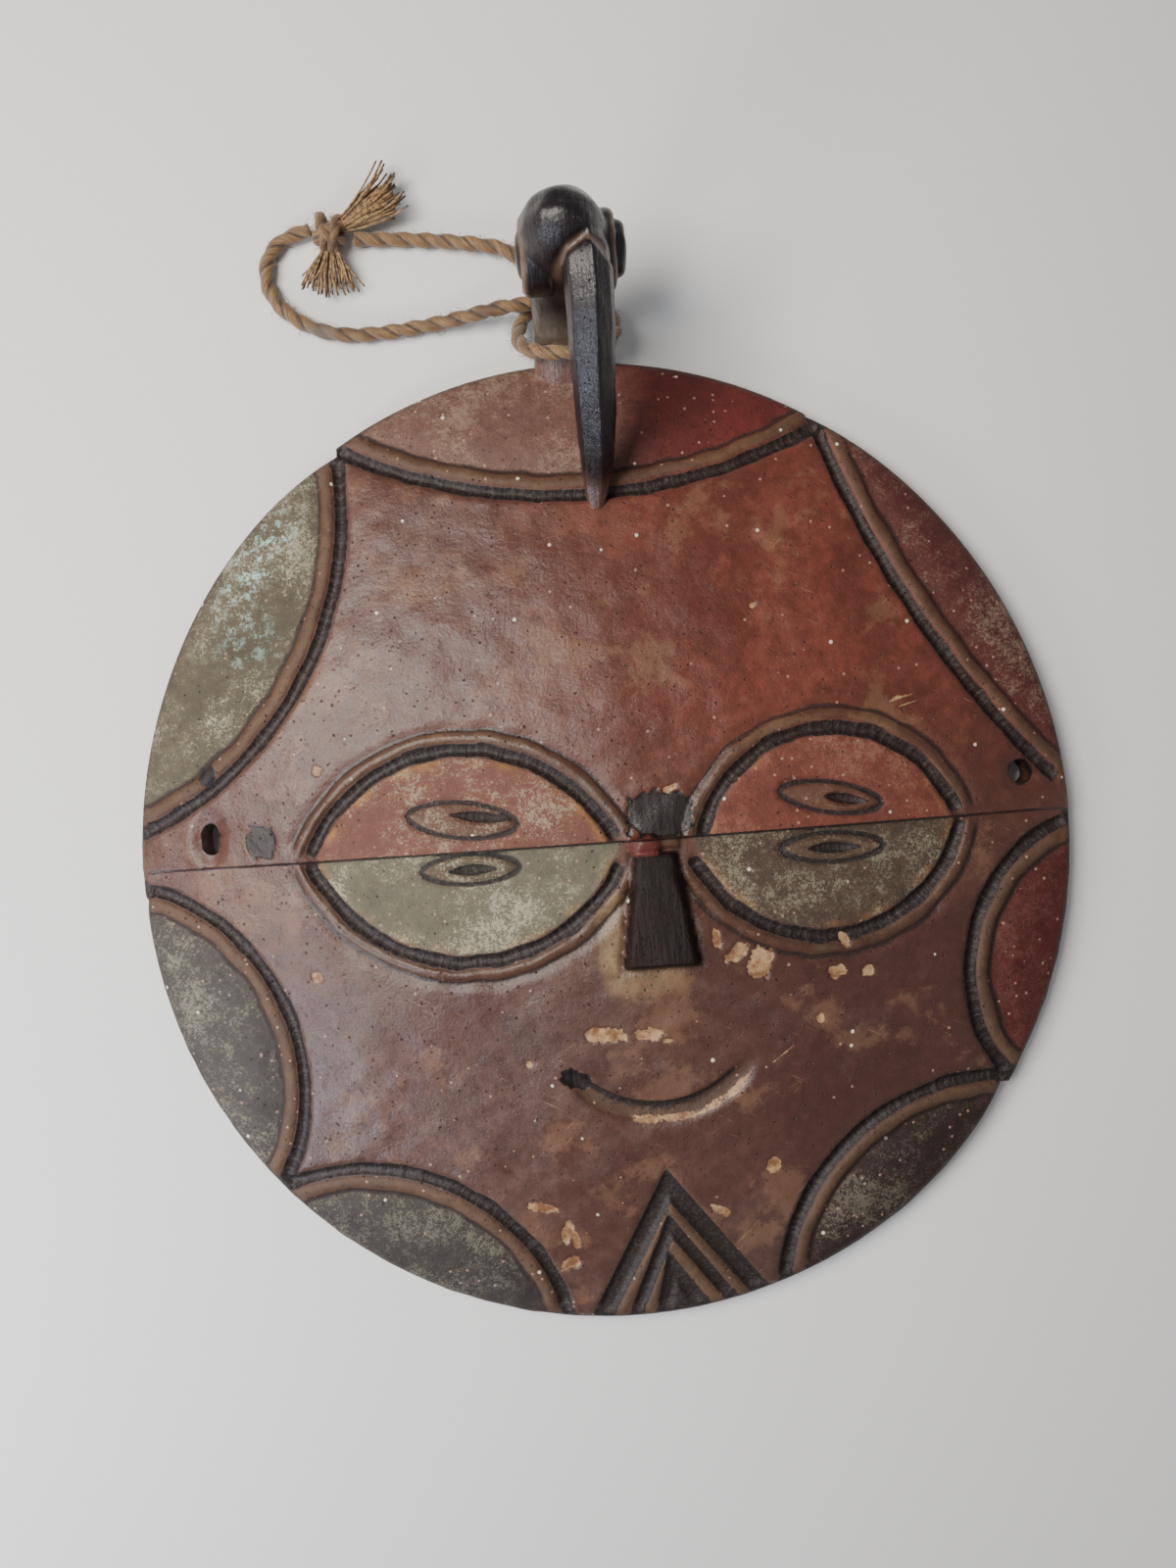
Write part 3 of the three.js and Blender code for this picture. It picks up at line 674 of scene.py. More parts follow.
# Bare or flaked places: x, y, half length, half width, turn, depth
chips = [
    (-5.2, -60.7, 7.2, 2.6, -6, 0.5), (8.7, -61.6, 5, 2, -4, 0.4), (14.5, -64, 2, 0.8, 0, 0.3),
    (38.3, -37.6, 4.6, 2.4, 40, 0.5), (45.2, -41.4, 5.6, 4.2, 70, 0.5), (32, -33, 1.6, 3.6, 0, 0.4),
    (69.6, -46.5, 3.2, 2.3, 20, 0.5), (79.8, -47.2, 2.1, 2.1, 0, 0.5), (72.5, -36.6, 1.5, 2.8, 25, 0.4),
    (-29.3, -116.3, 5.2, 1.7, -12, 0.5), (-21.8, -125.5, 2, 4.4, -20, 0.4), (-19.2, -128.5, 1.4, 3.4, 0, 0.3),
    (-21.1, -136.4, 3.6, 2.2, 20, 0.5), (27.9, -121.6, 4, 1.5, -30, 0.4), (-95.5, -37.2, 2, 2, 0, 0.4),
    (46, -107.7, 2.8, 2.8, 0, 0.4), (20.6, 15.2, 2.5, 1.2, 20, 0.4), (63.3, -60.9, 1.5, 1.5, 0, 0.3),
    (-90.2, 28.5, 1.7, 1.7, 0, 0.4), (-29.6, -68.5, 1.3, 1.1, 0, 0.3), (51.1, 71, 1.5, 0.8, 30, 0.3),
]
scratches = [(96.2, 38.6, 5, 0.35, 14, 0.15), (98.6, 36.7, 4, 0.3, 14, 0.15), (51, -71, 5, 0.3, 35, 0.1)]
# Dark bare places where the paint has come off: the patch over the nose and one by the left eye
darkPatches = [(16.8, 7.2, 10.6, 8.0, 0, 0.5), (-110.4, 7.2, 4.8, 5.6, 0, 0.5), (-127.4, 30, 3, 3.4, 0, 0.3)]


# Above 0 inside an uneven oval, near 1 at its middle.
def onPatch(patch, x, y):
    cx, cy, long, wide, turn, _ = patch
    u, v = turned(x - cx, y - cy, -turn)
    u, v = u / long, v / wide
    ragged = 0.11 * unevenness(x, y, 3.6, 31) + 0.07 * unevenness(x, y, 1.6, 32)
    power = 2.6
    return 1 - (np.abs(u) ** power + np.abs(v) ** power) ** (1 / power) + ragged * (min(long, wide) > 1)


def noseHeights(x, y):
    share = np.clip((nose["top"] - y) / (nose["top"] - nose["foot"]), 0, 1)
    left = nose["topLeft"] + (nose["footLeft"] - nose["topLeft"]) * share
    right = nose["topRight"] + (nose["footRight"] - nose["topRight"]) * share
    rise = nose["riseTop"] + (nose["riseFoot"] - nose["riseTop"]) * share
    side = np.minimum(x - left, right - x)
    inner = ramp(-0.5, 2.3, side) * ramp(-0.4, 1.3, y - nose["foot"]) * ramp(-0.6, 1.0, nose["top"] - y)
    ends = ramp(-3, 0, y - nose["foot"]) * ramp(-4, 0, nose["top"] - y)
    return rise * inner, np.minimum(side, y - nose["foot"]), ends


def bumpHeights(x, y):
    u = np.abs(x - noseBump["x"]) / noseBump["halfLong"]
    v = np.abs(y - noseBump["y"]) / noseBump["halfWide"]
    ball = noseBump["rise"] * np.sqrt(np.clip(1 - u ** 2.6 - v ** 2.4, 0, 1))
    strip = 1.1 * ramp(0.2, 1.4, x - noseBump["x"]) * ramp(0, 1.5, noseBump["stripEnd"] - x)
    return np.maximum(ball, strip * ramp(2.3, 1.2, np.abs(y + 1.3)))


# Distance inside a chin line, above 0 towards the middle of the chin.
def chinSides(line, x, y):
    apexY, leftFoot, rightFoot = line[:3]
    distances = []
    for footX, footY, sign in ((leftFoot, chinFeet[0], 1), (rightFoot, chinFeet[1], -1)):
        dx, dy = chinApex - footX, apexY - footY
        length = math.hypot(dx, dy)
        distances.append(sign * ((x - footX) * dy - (y - footY) * dx) / length)
    return np.minimum(*distances)


# Height of the face, and what shows on it: groove, ridge, field and so on, each from 0 to 1.
def carvedHeights(x, y):
    angle = np.arctan2(y, x)
    fromEdge = edgeRadius(angle) * (1 - edgeShare(x, y))
    crownShare = np.hypot(x, y) / smoothRadius(angle)
    z = discMake["edgeHeight"] + discMake["crown"] * (1 - crownShare**2)
    towardsEdge = 1 - np.minimum(1, np.abs(x) / discMake["radius"]) ** 4
    fading = np.exp(np.minimum(0, y) / midline["fade"])
    step = midline["least"] + (midline["step"] - midline["least"]) * towardsEdge * fading
    z -= step * ramp(0, -midline["gap"], y)
    marks = {name: np.zeros_like(x) for name in (
        "groove", "ridge", "crease", "tan", "along", "bare", "dark",
    )}
    fields, eyeFields = [], []
    face = np.ones_like(x)
    carved = np.zeros_like(x)
    pillow = np.zeros_like(x)

    def mark(name, share):
        marks[name] = np.maximum(marks[name], share)

    def markBorder(bands, distance, along, ends):
        for name, (middle, full, none) in bands.items():
            here = ramp(none, full, np.abs(distance - middle)) * ends
            if name == "groove":
                marks["along"] = np.where(here > marks["groove"], along, marks["along"])
            mark(name, here)

    wander = sum(size * unevenness(x, y, length, seed) for size, length, seed in borderWander)
    for arc in rimArcs:
        outside, along, inside = onArc(arc, x, y)
        ends = ramp(-3, 1, inside)
        distance = np.where(inside > -3, wander - outside, 99)
        carved += across(rimAcross, distance) * ends
        markBorder(rimBands, distance, along, ends)
        fields.append(ramp(6.6, 8.4, -outside))
        face *= 1 - ramp(-3.4, -2.2, -outside)
        pillow += forms["pillow"] * ramp(8, 17, -outside) * ramp(0, 13, fromEdge)
    for number, arc in enumerate(eyeArcs):
        outside, along, inside = onArc(arc, x, y)
        half = y > -midline["gap"] / 2 if number % 2 == 0 else y < -midline["gap"] / 2
        ends = ramp(-3.2, 1, inside) * half
        distance = outside + wander
        carved += across(eyeAcross, distance) * ends
        markBorder(eyeBands, distance, along, ends)
        mark("tan", eyeTan[number] * ends * ramp(1.6, 0.3, np.abs(outside + 3.5))
             * ramp(-0.5, 0.9, unevenness(x, y, 12, 71)))
        eyeFields.append(ramp(-2.0, -3.0, outside) * half)
        face *= 1 - ramp(3.4, 2.4, outside) * half
    for eye in smallEyes:
        outside, along, aside = onEye(eye, x, y)
        line = ramp(1.6, 0.2, np.abs(outside))
        carved += forms["almondBulge"] * ramp(0, -1.6, outside) - forms["almondLine"] * line
        gape = np.clip(1 - along**2, 0, 1)
        half = 0.3 + 2.1 * gape
        slit = ramp(1.15, 0.35, np.abs(aside) / half) * (np.abs(along) < 1)
        carved -= forms["eyeSlit"] * slit * gape
        marks["along"] = np.where(slit > 0.1, along * eye[7], marks["along"])
        mark("groove", np.maximum(0.75 * line, slit))
        mark("ridge", 0.8 * ramp(0.2, -1.2, outside) * (1 - slit))
    outside, along, inside = onArc(mouth["arc"], x, y)
    taper = ramp(-2, 11, inside)
    reach = outside / (0.45 + 0.55 * taper)
    carved += across(mouthAcross, reach) * taper
    trough = ramp(3.2, 1.8, reach) * ramp(-4.6, -3.2, reach) * taper
    mark("ridge", 0.85 * trough)
    mark("groove", trough * (0.36 + ramp(-1.0, -3, reach) * (0.3 + 0.34 * ramp(16, 4, along))))
    face *= 1 - 0.9 * trough
    mark("bare", 0.8 * taper * ramp(0.9, 2.0, reach) * ramp(4.0, 3.0, reach)
         * ramp(-17, -6, along) * ramp(-2.2, -0.4, unevenness(x, y, 7, 72)))
    corner = onPatch((*mouth["patch"], 0.9), x, y)
    carved -= forms["mouthPatch"] * ramp(0, 0.6, corner)
    mark("dark", ramp(0, 0.2, corner))
    chin = []
    for line in chinLines:
        inside = chinSides(line, x, y)
        half, depth = line[3:]
        carved -= depth * ramp(-half - 0.6, -half * 0.45, inside) * ramp(half * 1.1, half * 0.1, inside)
        chin.append(ramp(-half - 0.5, -half + 0.6, inside) * ramp(half * 0.9, half * 0.45, inside))
    inner = chinSides(chinLines[2], x, y)
    chin[2] = np.maximum(chin[2], ramp(-2.6, -1.4, inner))
    carved -= forms["chinMiddle"] * ramp(-1, 2, inner)
    insideChin = ramp(-0.8, 0.6, chinSides(chinLines[0], x, y) + chinLines[0][3])
    mark("ridge", insideChin)
    marks["groove"] = np.where(insideChin > 0.5, np.maximum.reduce(chin), marks["groove"])
    face *= 1 - insideChin
    rise, side, ends = noseHeights(x, y)
    bump = bumpHeights(x, y)
    marks["noseSide"] = ramp(-2.4, -0.6, side) * ends * (rise < 0.2)
    carved -= forms["noseCrease"] * marks["noseSide"]
    for patch in chips + scratches:
        here = onPatch(patch, x, y)
        carved -= patch[5] * ramp(-0.05, 0.2, here)
        mark("bare", ramp(-0.2, 0.45, here))
    for patch in darkPatches:
        here = onPatch(patch, x, y) * (1 if patch[0] < 0 else (y > 0.2) * (marks["groove"] < 0.5))
        carved -= patch[5] * ramp(-0.02, 0.06, here)
        mark("dark", ramp(-0.02, 0.1, here))
    for cx, cy, width, height in tieHoles:
        away = np.hypot(x - cx, (y - cy) * width / height) - width / 2
        carved -= forms["holeDish"] * ramp(3.6, 0, away)
        # Painted shade: the rim and walls of each tie hole are darkened with the dark flaked tone
        mark("dark", 0.8 * ramp(0.7, -0.2, away))
    carved = np.maximum(carved, -forms["deepest"])
    fromBorders = np.min([np.abs(onArc(arc, x, y)[0]) for arc in rimArcs], axis=0)
    slow = hammered["wide"] * unevenness(x, y, hammered["wideLength"], 5)
    quick = hammered["fine"] * unevenness(x, y, hammered["fineLength"], 6)
    waves = (slow + quick) * (0.25 + 0.75 * face)
    z += (carved + pillow) * ramp(0, 5, fromEdge) + np.maximum(rise, bump) + waves
    rounding = discMake["rounding"]
    inset = np.clip(fromEdge, 0, rounding)
    z -= rounding - np.sqrt(rounding**2 - (rounding - inset) ** 2)
    marks["face"] = face
    marks["middle"] = ramp(6, 26, fromEdge) * ramp(9, 22, fromBorders)
    marks["nose"] = ramp(0.15, 0.5, rise)
    marks["bump"] = ramp(0.3, 0.9, bump)
    # Painted shadow: a dark line along the midline step, under the raised upper half; it is laid into the
    # groove share
    marks["line"] = ramp(0.9, 0.2, np.abs(y + 0.35)) * (marks["nose"] < 0.5)
    return z, marks, fields, eyeFields


def onCircle(cx, cy, radius, turns):
    return np.column_stack([cx + radius * np.cos(turns), cy + radius * np.sin(turns)])


# A fine grid of points over one place, turned by some degrees.
def patchGrid(cx, cy, long, wide, turn, gaps):
    u, v = np.meshgrid(np.arange(-long, long, gaps[0]), np.arange(-wide, wide, gaps[1]))
    angle = math.radians(turn)
    return np.column_stack([
        (cx + u * math.cos(angle) - v * math.sin(angle)).ravel(),
        (cy + u * math.sin(angle) + v * math.cos(angle)).ravel(),
    ])


# Points in rows along the carving, then a loose grid for the rest, none too near another.
def facePoints():
    rows = []
    for arcs, profile, side in ((rimArcs, rimAcross, -1), (eyeArcs, eyeAcross, 1)):
        for cx, cy, radius, start, end in arcs:
            for distance, _ in profile:
                ring = radius + side * distance
                count = int(math.radians(end - start + 4) * ring / (1.15 if -3 < distance < 9 else 1.7))
                rows.append(onCircle(cx, cy, ring, np.radians(np.linspace(start - 2, end + 2, count))))
    cx, cy, radius, start, end = mouth["arc"]
    for distance, _ in mouthAcross:
        rows.append(onCircle(cx, cy, radius + distance, np.radians(np.linspace(start - 3, end + 3, 66))))
    for apexY, leftFoot, rightFoot, half, _ in chinLines:
        for offset in np.arange(-half - 1, half + 1.5, 0.85):
            for footX, footY, sign in ((leftFoot, chinFeet[0], 1), (rightFoot, chinFeet[1], -1)):
                dx, dy = chinApex - footX, apexY - footY
                length = math.hypot(dx, dy)
                share = np.linspace(0, 1.0, int(length / 1.1))[:, None]
                base = np.array([footX, footY]) + np.array([sign * dy, -sign * dx]) / length * offset
                drop = abs(offset) / max(0.2, abs(dx) / length) * (-1 if offset > 0 else 1)
                rows.append(base + (np.array([chinApex, apexY + drop]) - base) * share)
    for cx, cy, long, wide, turn, _ in chips + scratches + darkPatches + [(*mouth["patch"], 1)]:
        gap = 0.6 if min(long, wide) > 0.7 else 0.4
        rows.append(patchGrid(cx, cy, long * 1.35, wide * 1.5, turn, (gap, gap)))
    for cx, cy, long, high, tilt, *_ in smallEyes:
        rows.append(patchGrid(cx, cy, long + 2, high + 2, tilt, (0.8, 0.62)))
    noseGrid = np.meshgrid(np.arange(-1, 30, 0.75), np.arange(-44, 3, 0.75))
    rows.append(np.column_stack([noseGrid[0].ravel(), noseGrid[1].ravel()]))
    for offset, gap in ((1.6, 1.3), (0.75, 1.2), (-1.3, 1.2), (-2.2, 1.3)):
        line = np.arange(-150, 150, gap)
        rows.append(np.column_stack([line, np.full_like(line, offset)]))
    step, reach = discMake["grid"], discMake["reach"]
    for row, y in enumerate(np.arange(-reach, reach, step * 0.87)):
        x = np.arange(-reach, reach, step) + (row % 2) * step / 2
        rows.append(np.column_stack([x, np.full_like(x, y)]))
    points = np.vstack(rows)
    inset = edgeRadius(np.arctan2(points[:, 1], points[:, 0])) * (1 - edgeShare(points[:, 0], points[:, 1]))
    return points[inset > 4.4]


# The points that keep at least near mm from the fixed ones and from each other, first come first.
def thinned(fixed, points, near):
    taken = {}
    kept = []
    for order, (x, y) in enumerate(np.vstack([fixed, points])):
        cell = (int(x // near), int(y // near))
        close = order >= len(fixed) and any(
            (x - ox) ** 2 + (y - oy) ** 2 < near * near
            for i in (-1, 0, 1) for j in (-1, 0, 1)
            for ox, oy in taken.get((cell[0] + i, cell[1] + j), ())
        )
        if not close:
            taken.setdefault(cell, []).append((x, y))
            if order >= len(fixed):
                kept.append((x, y))
    return np.array(kept)


# Triangles over the inside of a closed outline; the outline's points come first.
def triangulated(outline, inner, lines=()):
    count = len(outline)
    points = np.vstack([outline, *lines, inner])
    edges = [(index, (index + 1) % count) for index in range(count)]
    start = count
    for line in lines:
        edges += [(start + index, start + index + 1) for index in range(len(line) - 1)]
        start += len(line)
    net = geometry.delaunay_2d_cdt([tuple(point) for point in points], edges, [], 1, 1e-6, True)
    places = np.array([tuple(place) for place in net[0]])
    order = np.full(len(places), -1)
    for index, origin in enumerate(net[3]):
        if origin:
            order[index] = min(origin)
    onOutline = (order >= 0) & (order < count)
    faces = [face for face in net[2] if not all(onOutline[corner] for corner in face)]
    return places, faces, order


# The closed disc: carved face, rounded edge, flat rim on the back and the shallow hollow.
def discPiece():
    around, reach = discMake["around"], discMake["reach"]
    angles = 2 * np.pi * (np.arange(around) + 0.5) / around
    radius = edgeRadius(angles)

    def ring(inset):
        return onCircle(0, 0, radius - inset, angles)

    outline = ring(0.25)
    rings = [ring(inset) for inset in (0.7, 1.4, 2.3, 3.4)]
    alongMidline = np.arange(-150, 152, 0.9)
    upper = np.column_stack([alongMidline, np.full_like(alongMidline, 0.05)])
    lower = upper * (1, 0) + (0, -midline["gap"] - 0.05)
    inside = edgeShare(upper[:, 0], upper[:, 1]) < 0.97
    lines = [upper[inside], lower[inside]]
    grid = thinned(np.vstack([outline, *rings, *lines]), facePoints(), discMake["nearest"])
    places, faces, order = triangulated(outline, np.vstack([*rings, grid]), lines)
    facePlaces = np.column_stack([places, carvedHeights(places[:, 0], places[:, 1])[0]])
    # The back: rim, hollow and a coarser grid
    hollow = radius * (1 - discMake["rimWidth"] / discMake["radius"])
    depth = discMake["edgeHeight"] + discMake["crown"] - discMake["wall"]

    def backHeights(x, y):
        share = np.hypot(x, y) / np.interp(np.arctan2(y, x), angles - 2 * np.pi, hollow, period=2 * np.pi)
        gouges = discMake["gouges"] * unevenness(x, y, 14, 21)
        return np.where(share < 1, depth * (1 - share**2) + gouges * ramp(1, 0.9, share), 0)

    spread = discMake["backGrid"]
    gridX, gridY = np.meshgrid(np.arange(-reach, reach, spread), np.arange(-reach, reach, spread * 0.87))
    gridX[::2] += spread / 2
    inner = np.column_stack([gridX.ravel(), gridY.ravel()])
    inner = inner[np.hypot(inner[:, 0], inner[:, 1]) < discMake["backReach"]]
    rimRing = onCircle(0, 0, hollow[::3], angles[::3])
    rimRows = [ring(inset) for inset in (3.6, 5.2, 8.5)]
    back, backFaces, backOrder = triangulated(
        ring(2.6), np.vstack([*rimRows, rimRing, rimRing * 0.985, inner])
    )
    backPlaces = np.column_stack([back, backHeights(back[:, 0], back[:, 1])])
    waver = 0.25 * unevenness(radius * np.cos(angles), radius * np.sin(angles), 9, 41)
    edgeHeight = discMake["edgeHeight"] - discMake["rounding"]
    strips = [
        np.column_stack([ring(inset), np.full(around, height) + wave])
        for inset, height, wave in ((0, edgeHeight, waver), (0, 2.6, 0), (0.8, 0.6, 0))
    ]
    everything = [facePlaces, *strips, backPlaces]
    starts = np.cumsum([0] + [len(part) for part in everything])
    allFaces = [tuple(face) for face in faces]
    allFaces += [tuple(reversed([corner + starts[4] for corner in face])) for face in backFaces]
    # Rows of edge points from the face down to the back, joined by quads
    first, last = (
        {int(origin): index for index, origin in enumerate(found) if 0 <= origin < around}
        for found in (order, backOrder)
    )
    chain = [[first[index] for index in range(around)]]
    chain += [[start + index for index in range(around)] for start in starts[1:4]]
    chain += [[starts[4] + last[index] for index in range(around)]]
    for upperRow, lowerRow in zip(chain, chain[1:]):
        for index in range(around):
            beside = (index + 1) % around
            allFaces.append((upperRow[beside], upperRow[index], lowerRow[index], lowerRow[beside]))
    return meshPiece("carvedMask", onFrame(np.vstack(everything)), allFaces)


# Bird: neck rings, head, eye bosses and beak rings. Their y is measured from the disc's top edge.
neckMiddle = -1.2
neckRings = [  # y, z, lean, half width, half depth
    (-9.1, 5.6, 12, 15, 4.5), (-1.1, 8.8, 34, 11.6, 6.1), (8.4, 14.8, 46, 10.5, 7.4),
    (16.4, 25, 58, 11, 9), (20.9, 38, 70, 12.4, 11), (22.9, 48, 80, 11, 10.5),
]
head = {"middle": (-0.9, 23.9, 50.9), "half": (13.3, 12.5, 20.3)}
eyeBosses = [  # side, y, z, outer radius, inner radius, reach, reach of the inner boss
    (-1, 21.6, 46, 11.9, 7.3, 13.3, 14.1), (1, 22.8, 43, 11.9, 8.3, 16.1, 18.7),
]
beakRings = [  # x, y, z, lean, half width, up, down
    (4.4, 20.9, 55, -8, 7.2, 11.3, 7), (5.4, 14.2, 59.6, 6, 7.3, 9.1, 7.6),
    (5.7, 6.4, 58.5, 21, 7.3, 8.3, 7.2), (5.7, -2.9, 54.2, 32, 7.1, 7.5, 6.6),
    (5.6, -13.4, 46.8, 38, 6.8, 6.9, 6), (5.6, -25.5, 37.8, 43, 6.2, 6.1, 5.2),
    (5.4, -34, 30.3, 48, 5.6, 5.1, 4.6), (4.9, -42.2, 22.7, 46, 4.5, 3.3, 6.4),
    (4.3, -49.9, 20.2, 40, 2.1, 1.1, 4.6),
]
# The beak's cross-section, as shares of its half width and of its height up or down
beakSection = [(0.25, 1.0), (0.84, 0.46), (1.0, 0.02), (0.85, -0.7), (0, -1.0), (-0.8, -0.75), (-1.0, -0.05),
               (-0.75, 0.6)]
birdMake = {"voxel": 0.6, "smoothing": 2, "browDepth": 0.5, "gouges": 0.16, "sides": 40}


# Points and faces of a closed skin through rings of equally many points.
def ringSkin(rings):
    sides = len(rings[0])
    faces = []
    for level in range(len(rings) - 1):
        for corner in range(sides):
            beside = (corner + 1) % sides
            here, there = level * sides, (level + 1) * sides
            faces.append((here + corner, here + beside, there + beside, there + corner))
    faces.append(tuple(reversed(range(sides))))
    faces.append(tuple(range((len(rings) - 1) * sides, len(rings) * sides)))
    return np.vstack(rings), faces


# More rows between the given ones, on a smooth curve through their values.
def refined(rows, count):
    table = np.array(rows, float)
    gaps = np.linalg.norm(np.diff(table[:, :3], axis=0), axis=1)
    at = np.concatenate([[0], np.cumsum(gaps)])
    wanted = np.linspace(0, at[-1], count)
    slopes = np.gradient(table, at, axis=0)
    finer = []
    for place in wanted:
        index = min(int(np.searchsorted(at, place, side="right")) - 1, len(at) - 2)
        span = at[index + 1] - at[index]
        finer.append(smoothStep(
            (place - at[index]) / span, table[index], span * slopes[index], table[index + 1],
            span * slopes[index + 1],
        ))
    return np.array(finer)


def leaning(x, y, z, lean, section):
    tip = math.radians(lean)
    aside, up = section[:, 0], section[:, 1]
    return np.column_stack([x + aside, y - up * math.sin(tip), z + up * math.cos(tip)])


def birdParts():
    angles = np.linspace(0, 2 * np.pi, birdMake["sides"], endpoint=False)
    rings = []
    for y, z, lean, wide, deep in refined(neckRings, 26):
        section = np.column_stack([wide * np.cos(angles), deep * np.sin(angles)])
        rings.append(leaning(neckMiddle, y, z, lean, section))
    parts = [ringSkin(rings)]
    rings = []
    mx, my, mz = head["middle"]
    hx, hy, hz = head["half"]
    for rise in np.linspace(-0.995, 0.995, 36):
        flat = math.sqrt(1 - rise * rise)
        rings.append(np.column_stack([
            mx + hx * flat * np.cos(angles), my + hy * flat * np.sin(angles),
            np.full(len(angles), mz + hz * rise),
        ]))
    parts.append(ringSkin(rings))
    for side, y, z, outer, inner, reach, innerReach in eyeBosses:
        profile = [(reach * 0.3, outer), (reach - 2.8, outer), (reach - 1.4, outer - 0.5),
                   (reach - 0.4, outer - 1.6), (reach - 0.9, outer - 2.8), (reach - 1.0, inner + 0.3),
                   (innerReach - 1.5, inner - 0.1), (innerReach - 0.5, inner - 0.9),
                   (innerReach, inner - 2.4), (innerReach + 0.05, 0.6)]
        parts.append(ringSkin([np.column_stack([
            np.full(len(angles), mx + side * out), y + radius * np.cos(angles),
            z + radius * np.sin(angles) * side,
        ]) for out, radius in profile]))
    rings = []
    for x, y, z, lean, half, up, down in refined(beakRings, 60):
        section = []
        for a, b in zip(np.array(beakSection), np.roll(beakSection, -1, axis=0)):
            for share in (0, 0.33, 0.66):
                u, v = a + (b - a) * share
                section.append((u * half, v * (up if v > 0 else down)))
        rings.append(leaning(x, y, z, lean, np.array(section)[::-1]))
    parts.append(ringSkin(rings))
    return parts


browLines = [[(5.2, 172.6), (0.5, 170.2), (-4.5, 166.5)], [(5.2, 172.6), (9.3, 170.6), (12.0, 167.2)]]


# Distance in plan to the nearest of some bent lines.
def lineDistance(x, y, lines):
    nearest = np.full_like(x, 1e3)
    for line in lines:
        for (ax, ay), (bx, by) in zip(line, line[1:]):
            dx, dy = bx - ax, by - ay
            share = np.clip(((x - ax) * dx + (y - ay) * dy) / (dx * dx + dy * dy), 0, 1)
            nearest = np.minimum(nearest, np.hypot(x - ax - dx * share, y - ay - dy * share))
    return nearest


# How much of a brow line is at a place on the head, from 0 to 1.
def browShare(x, y, z, width):
    return ramp(width, 0.3, lineDistance(x, y, browLines)) * ramp(46, 54, z)


def birdPiece():
    points, faces = joined(birdParts())
    bird = meshPiece("birdCarving", onFrame(points + (0, discTop, 0)), faces)
    remesh = bird.modifiers.new("oneSkin", "REMESH")
    remesh.mode = "VOXEL"
    remesh.voxel_size = birdMake["voxel"] / 1000
    soft = bird.modifiers.new("softened", "SMOOTH")
    soft.factor = 0.5
    soft.iterations = birdMake["smoothing"]
    withModifiers(bird)
    places = offFrame(corners(bird))
    normals = np.empty(len(bird.data.vertices) * 3)
    bird.data.vertices.foreach_get("normal", normals)
    normals = normals.reshape(-1, 3)
    x, y, z = places.T
    depth = birdMake["browDepth"] * browShare(x, y, z, 2.0)
    depth += birdMake["gouges"] * unevenness(x + z * 0.6, y - z * 0.4, 8, 51)
    places -= normals * depth[:, None]
    moveTo(bird, onFrame(places))
    return bird


def holeCutter(hole):
    cx, cy, width, height = hole
    angles = np.linspace(0, 2 * np.pi, 32, endpoint=False)
    straight = max(0, height - width) / 2 * np.sign(np.sin(angles))
    wobble = 1 + 0.04 * np.sin(3 * angles + cx)
    x = cx + width / 2 * wobble * np.cos(angles)
    y = cy + straight + width / 2 * wobble * np.sin(angles)
    rings = [np.column_stack([x, y, np.full(len(x), z)]) for z in (-10.0, 60.0)]
    points, faces = ringSkin(rings)
    return meshPiece("holeCutter", onFrame(points), faces)


def combine(piece, other, operation):
    change = piece.modifiers.new("join", "BOOLEAN")
    change.operation = operation
    change.solver = "MANIFOLD"
    change.object = other
    withModifiers(piece)
    bpy.data.objects.remove(other)


carvedMask = discPiece()
print("disc made", len(carvedMask.data.polygons), "faces")
for hole in tieHoles:
    combine(carvedMask, holeCutter(hole), "DIFFERENCE")
bird = birdPiece()
print("bird made", len(bird.data.polygons), "faces")
combine(carvedMask, bird, "UNION")
carvedMask.data.polygons.foreach_set("use_smooth", np.ones(len(carvedMask.data.polygons), bool))
carvedMask.data.set_sharp_from_angle(angle=math.radians(58))
print("carving joined", len(carvedMask.data.polygons), "faces")

# Tones of the painted and worn wood, and of the painted shade and highlights laid on it
woodTones = {
    "face": "#53362a", "faceRight": "#643225", "faceLow": "#4e3830", "cheekRight": "#422720",
    "topField": "#5f4136", "topRight": "#561f18", "rightField": "#471712", "upperRight": "#4e231d",
    "lowerRight": "#2a1a15", "lowField": "#342e2a", "lowerLeft": "#403a36", "upperLeft": "#524a39",
    "upperEyeLeft": "#683f32", "upperEyeRight": "#683629", "lowerEyeLeft": "#605a48",
    "lowerEyeRight": "#463629", "ridge": "#503b29", "groove": "#1c1514", "toolMarkAndHighlight": "#35302f",
    "crease": "#1f1510", "tan": "#8a5f35", "nose": "#150907", "noseGrain": "#2e1712", "bump": "#54241c",
    "bird": "#130c0d", "birdGrain": "#3a3230", "birdBrow": "#6b5240", "neck": "#51483e", "back": "#5b3d2b",
    "edge": "#3a2a22", "dust": "#94805a", "varnish": "#3f1c12", "dry": "#7d5d44", "scuff": "#94735c",
    "crust": "#b0ab90", "copper": "#9cc7bb", "pit": "#1d1412", "crumb": "#a98672", "speck": "#d9cdb8",
    "flakedDarkAndHoleShade": "#151010", "flakedGrainAndHoleShade": "#2e2624", "bareBrown": "#6f4c31", "barePale": "#a98862",
}
wood = {name: colour(code) for name, code in woodTones.items()}
# How strongly each kind of wear, and the painted shade in the creases, covers what is under it
wearShares = {
    "varnish": 0.42, "dry": 0.34, "scuff": 0.45, "crust": 0.8, "copper": 0.8, "pit": 0.75, "crumb": 0.65,
    "speck": 0.9, "crease": 0.8,
}
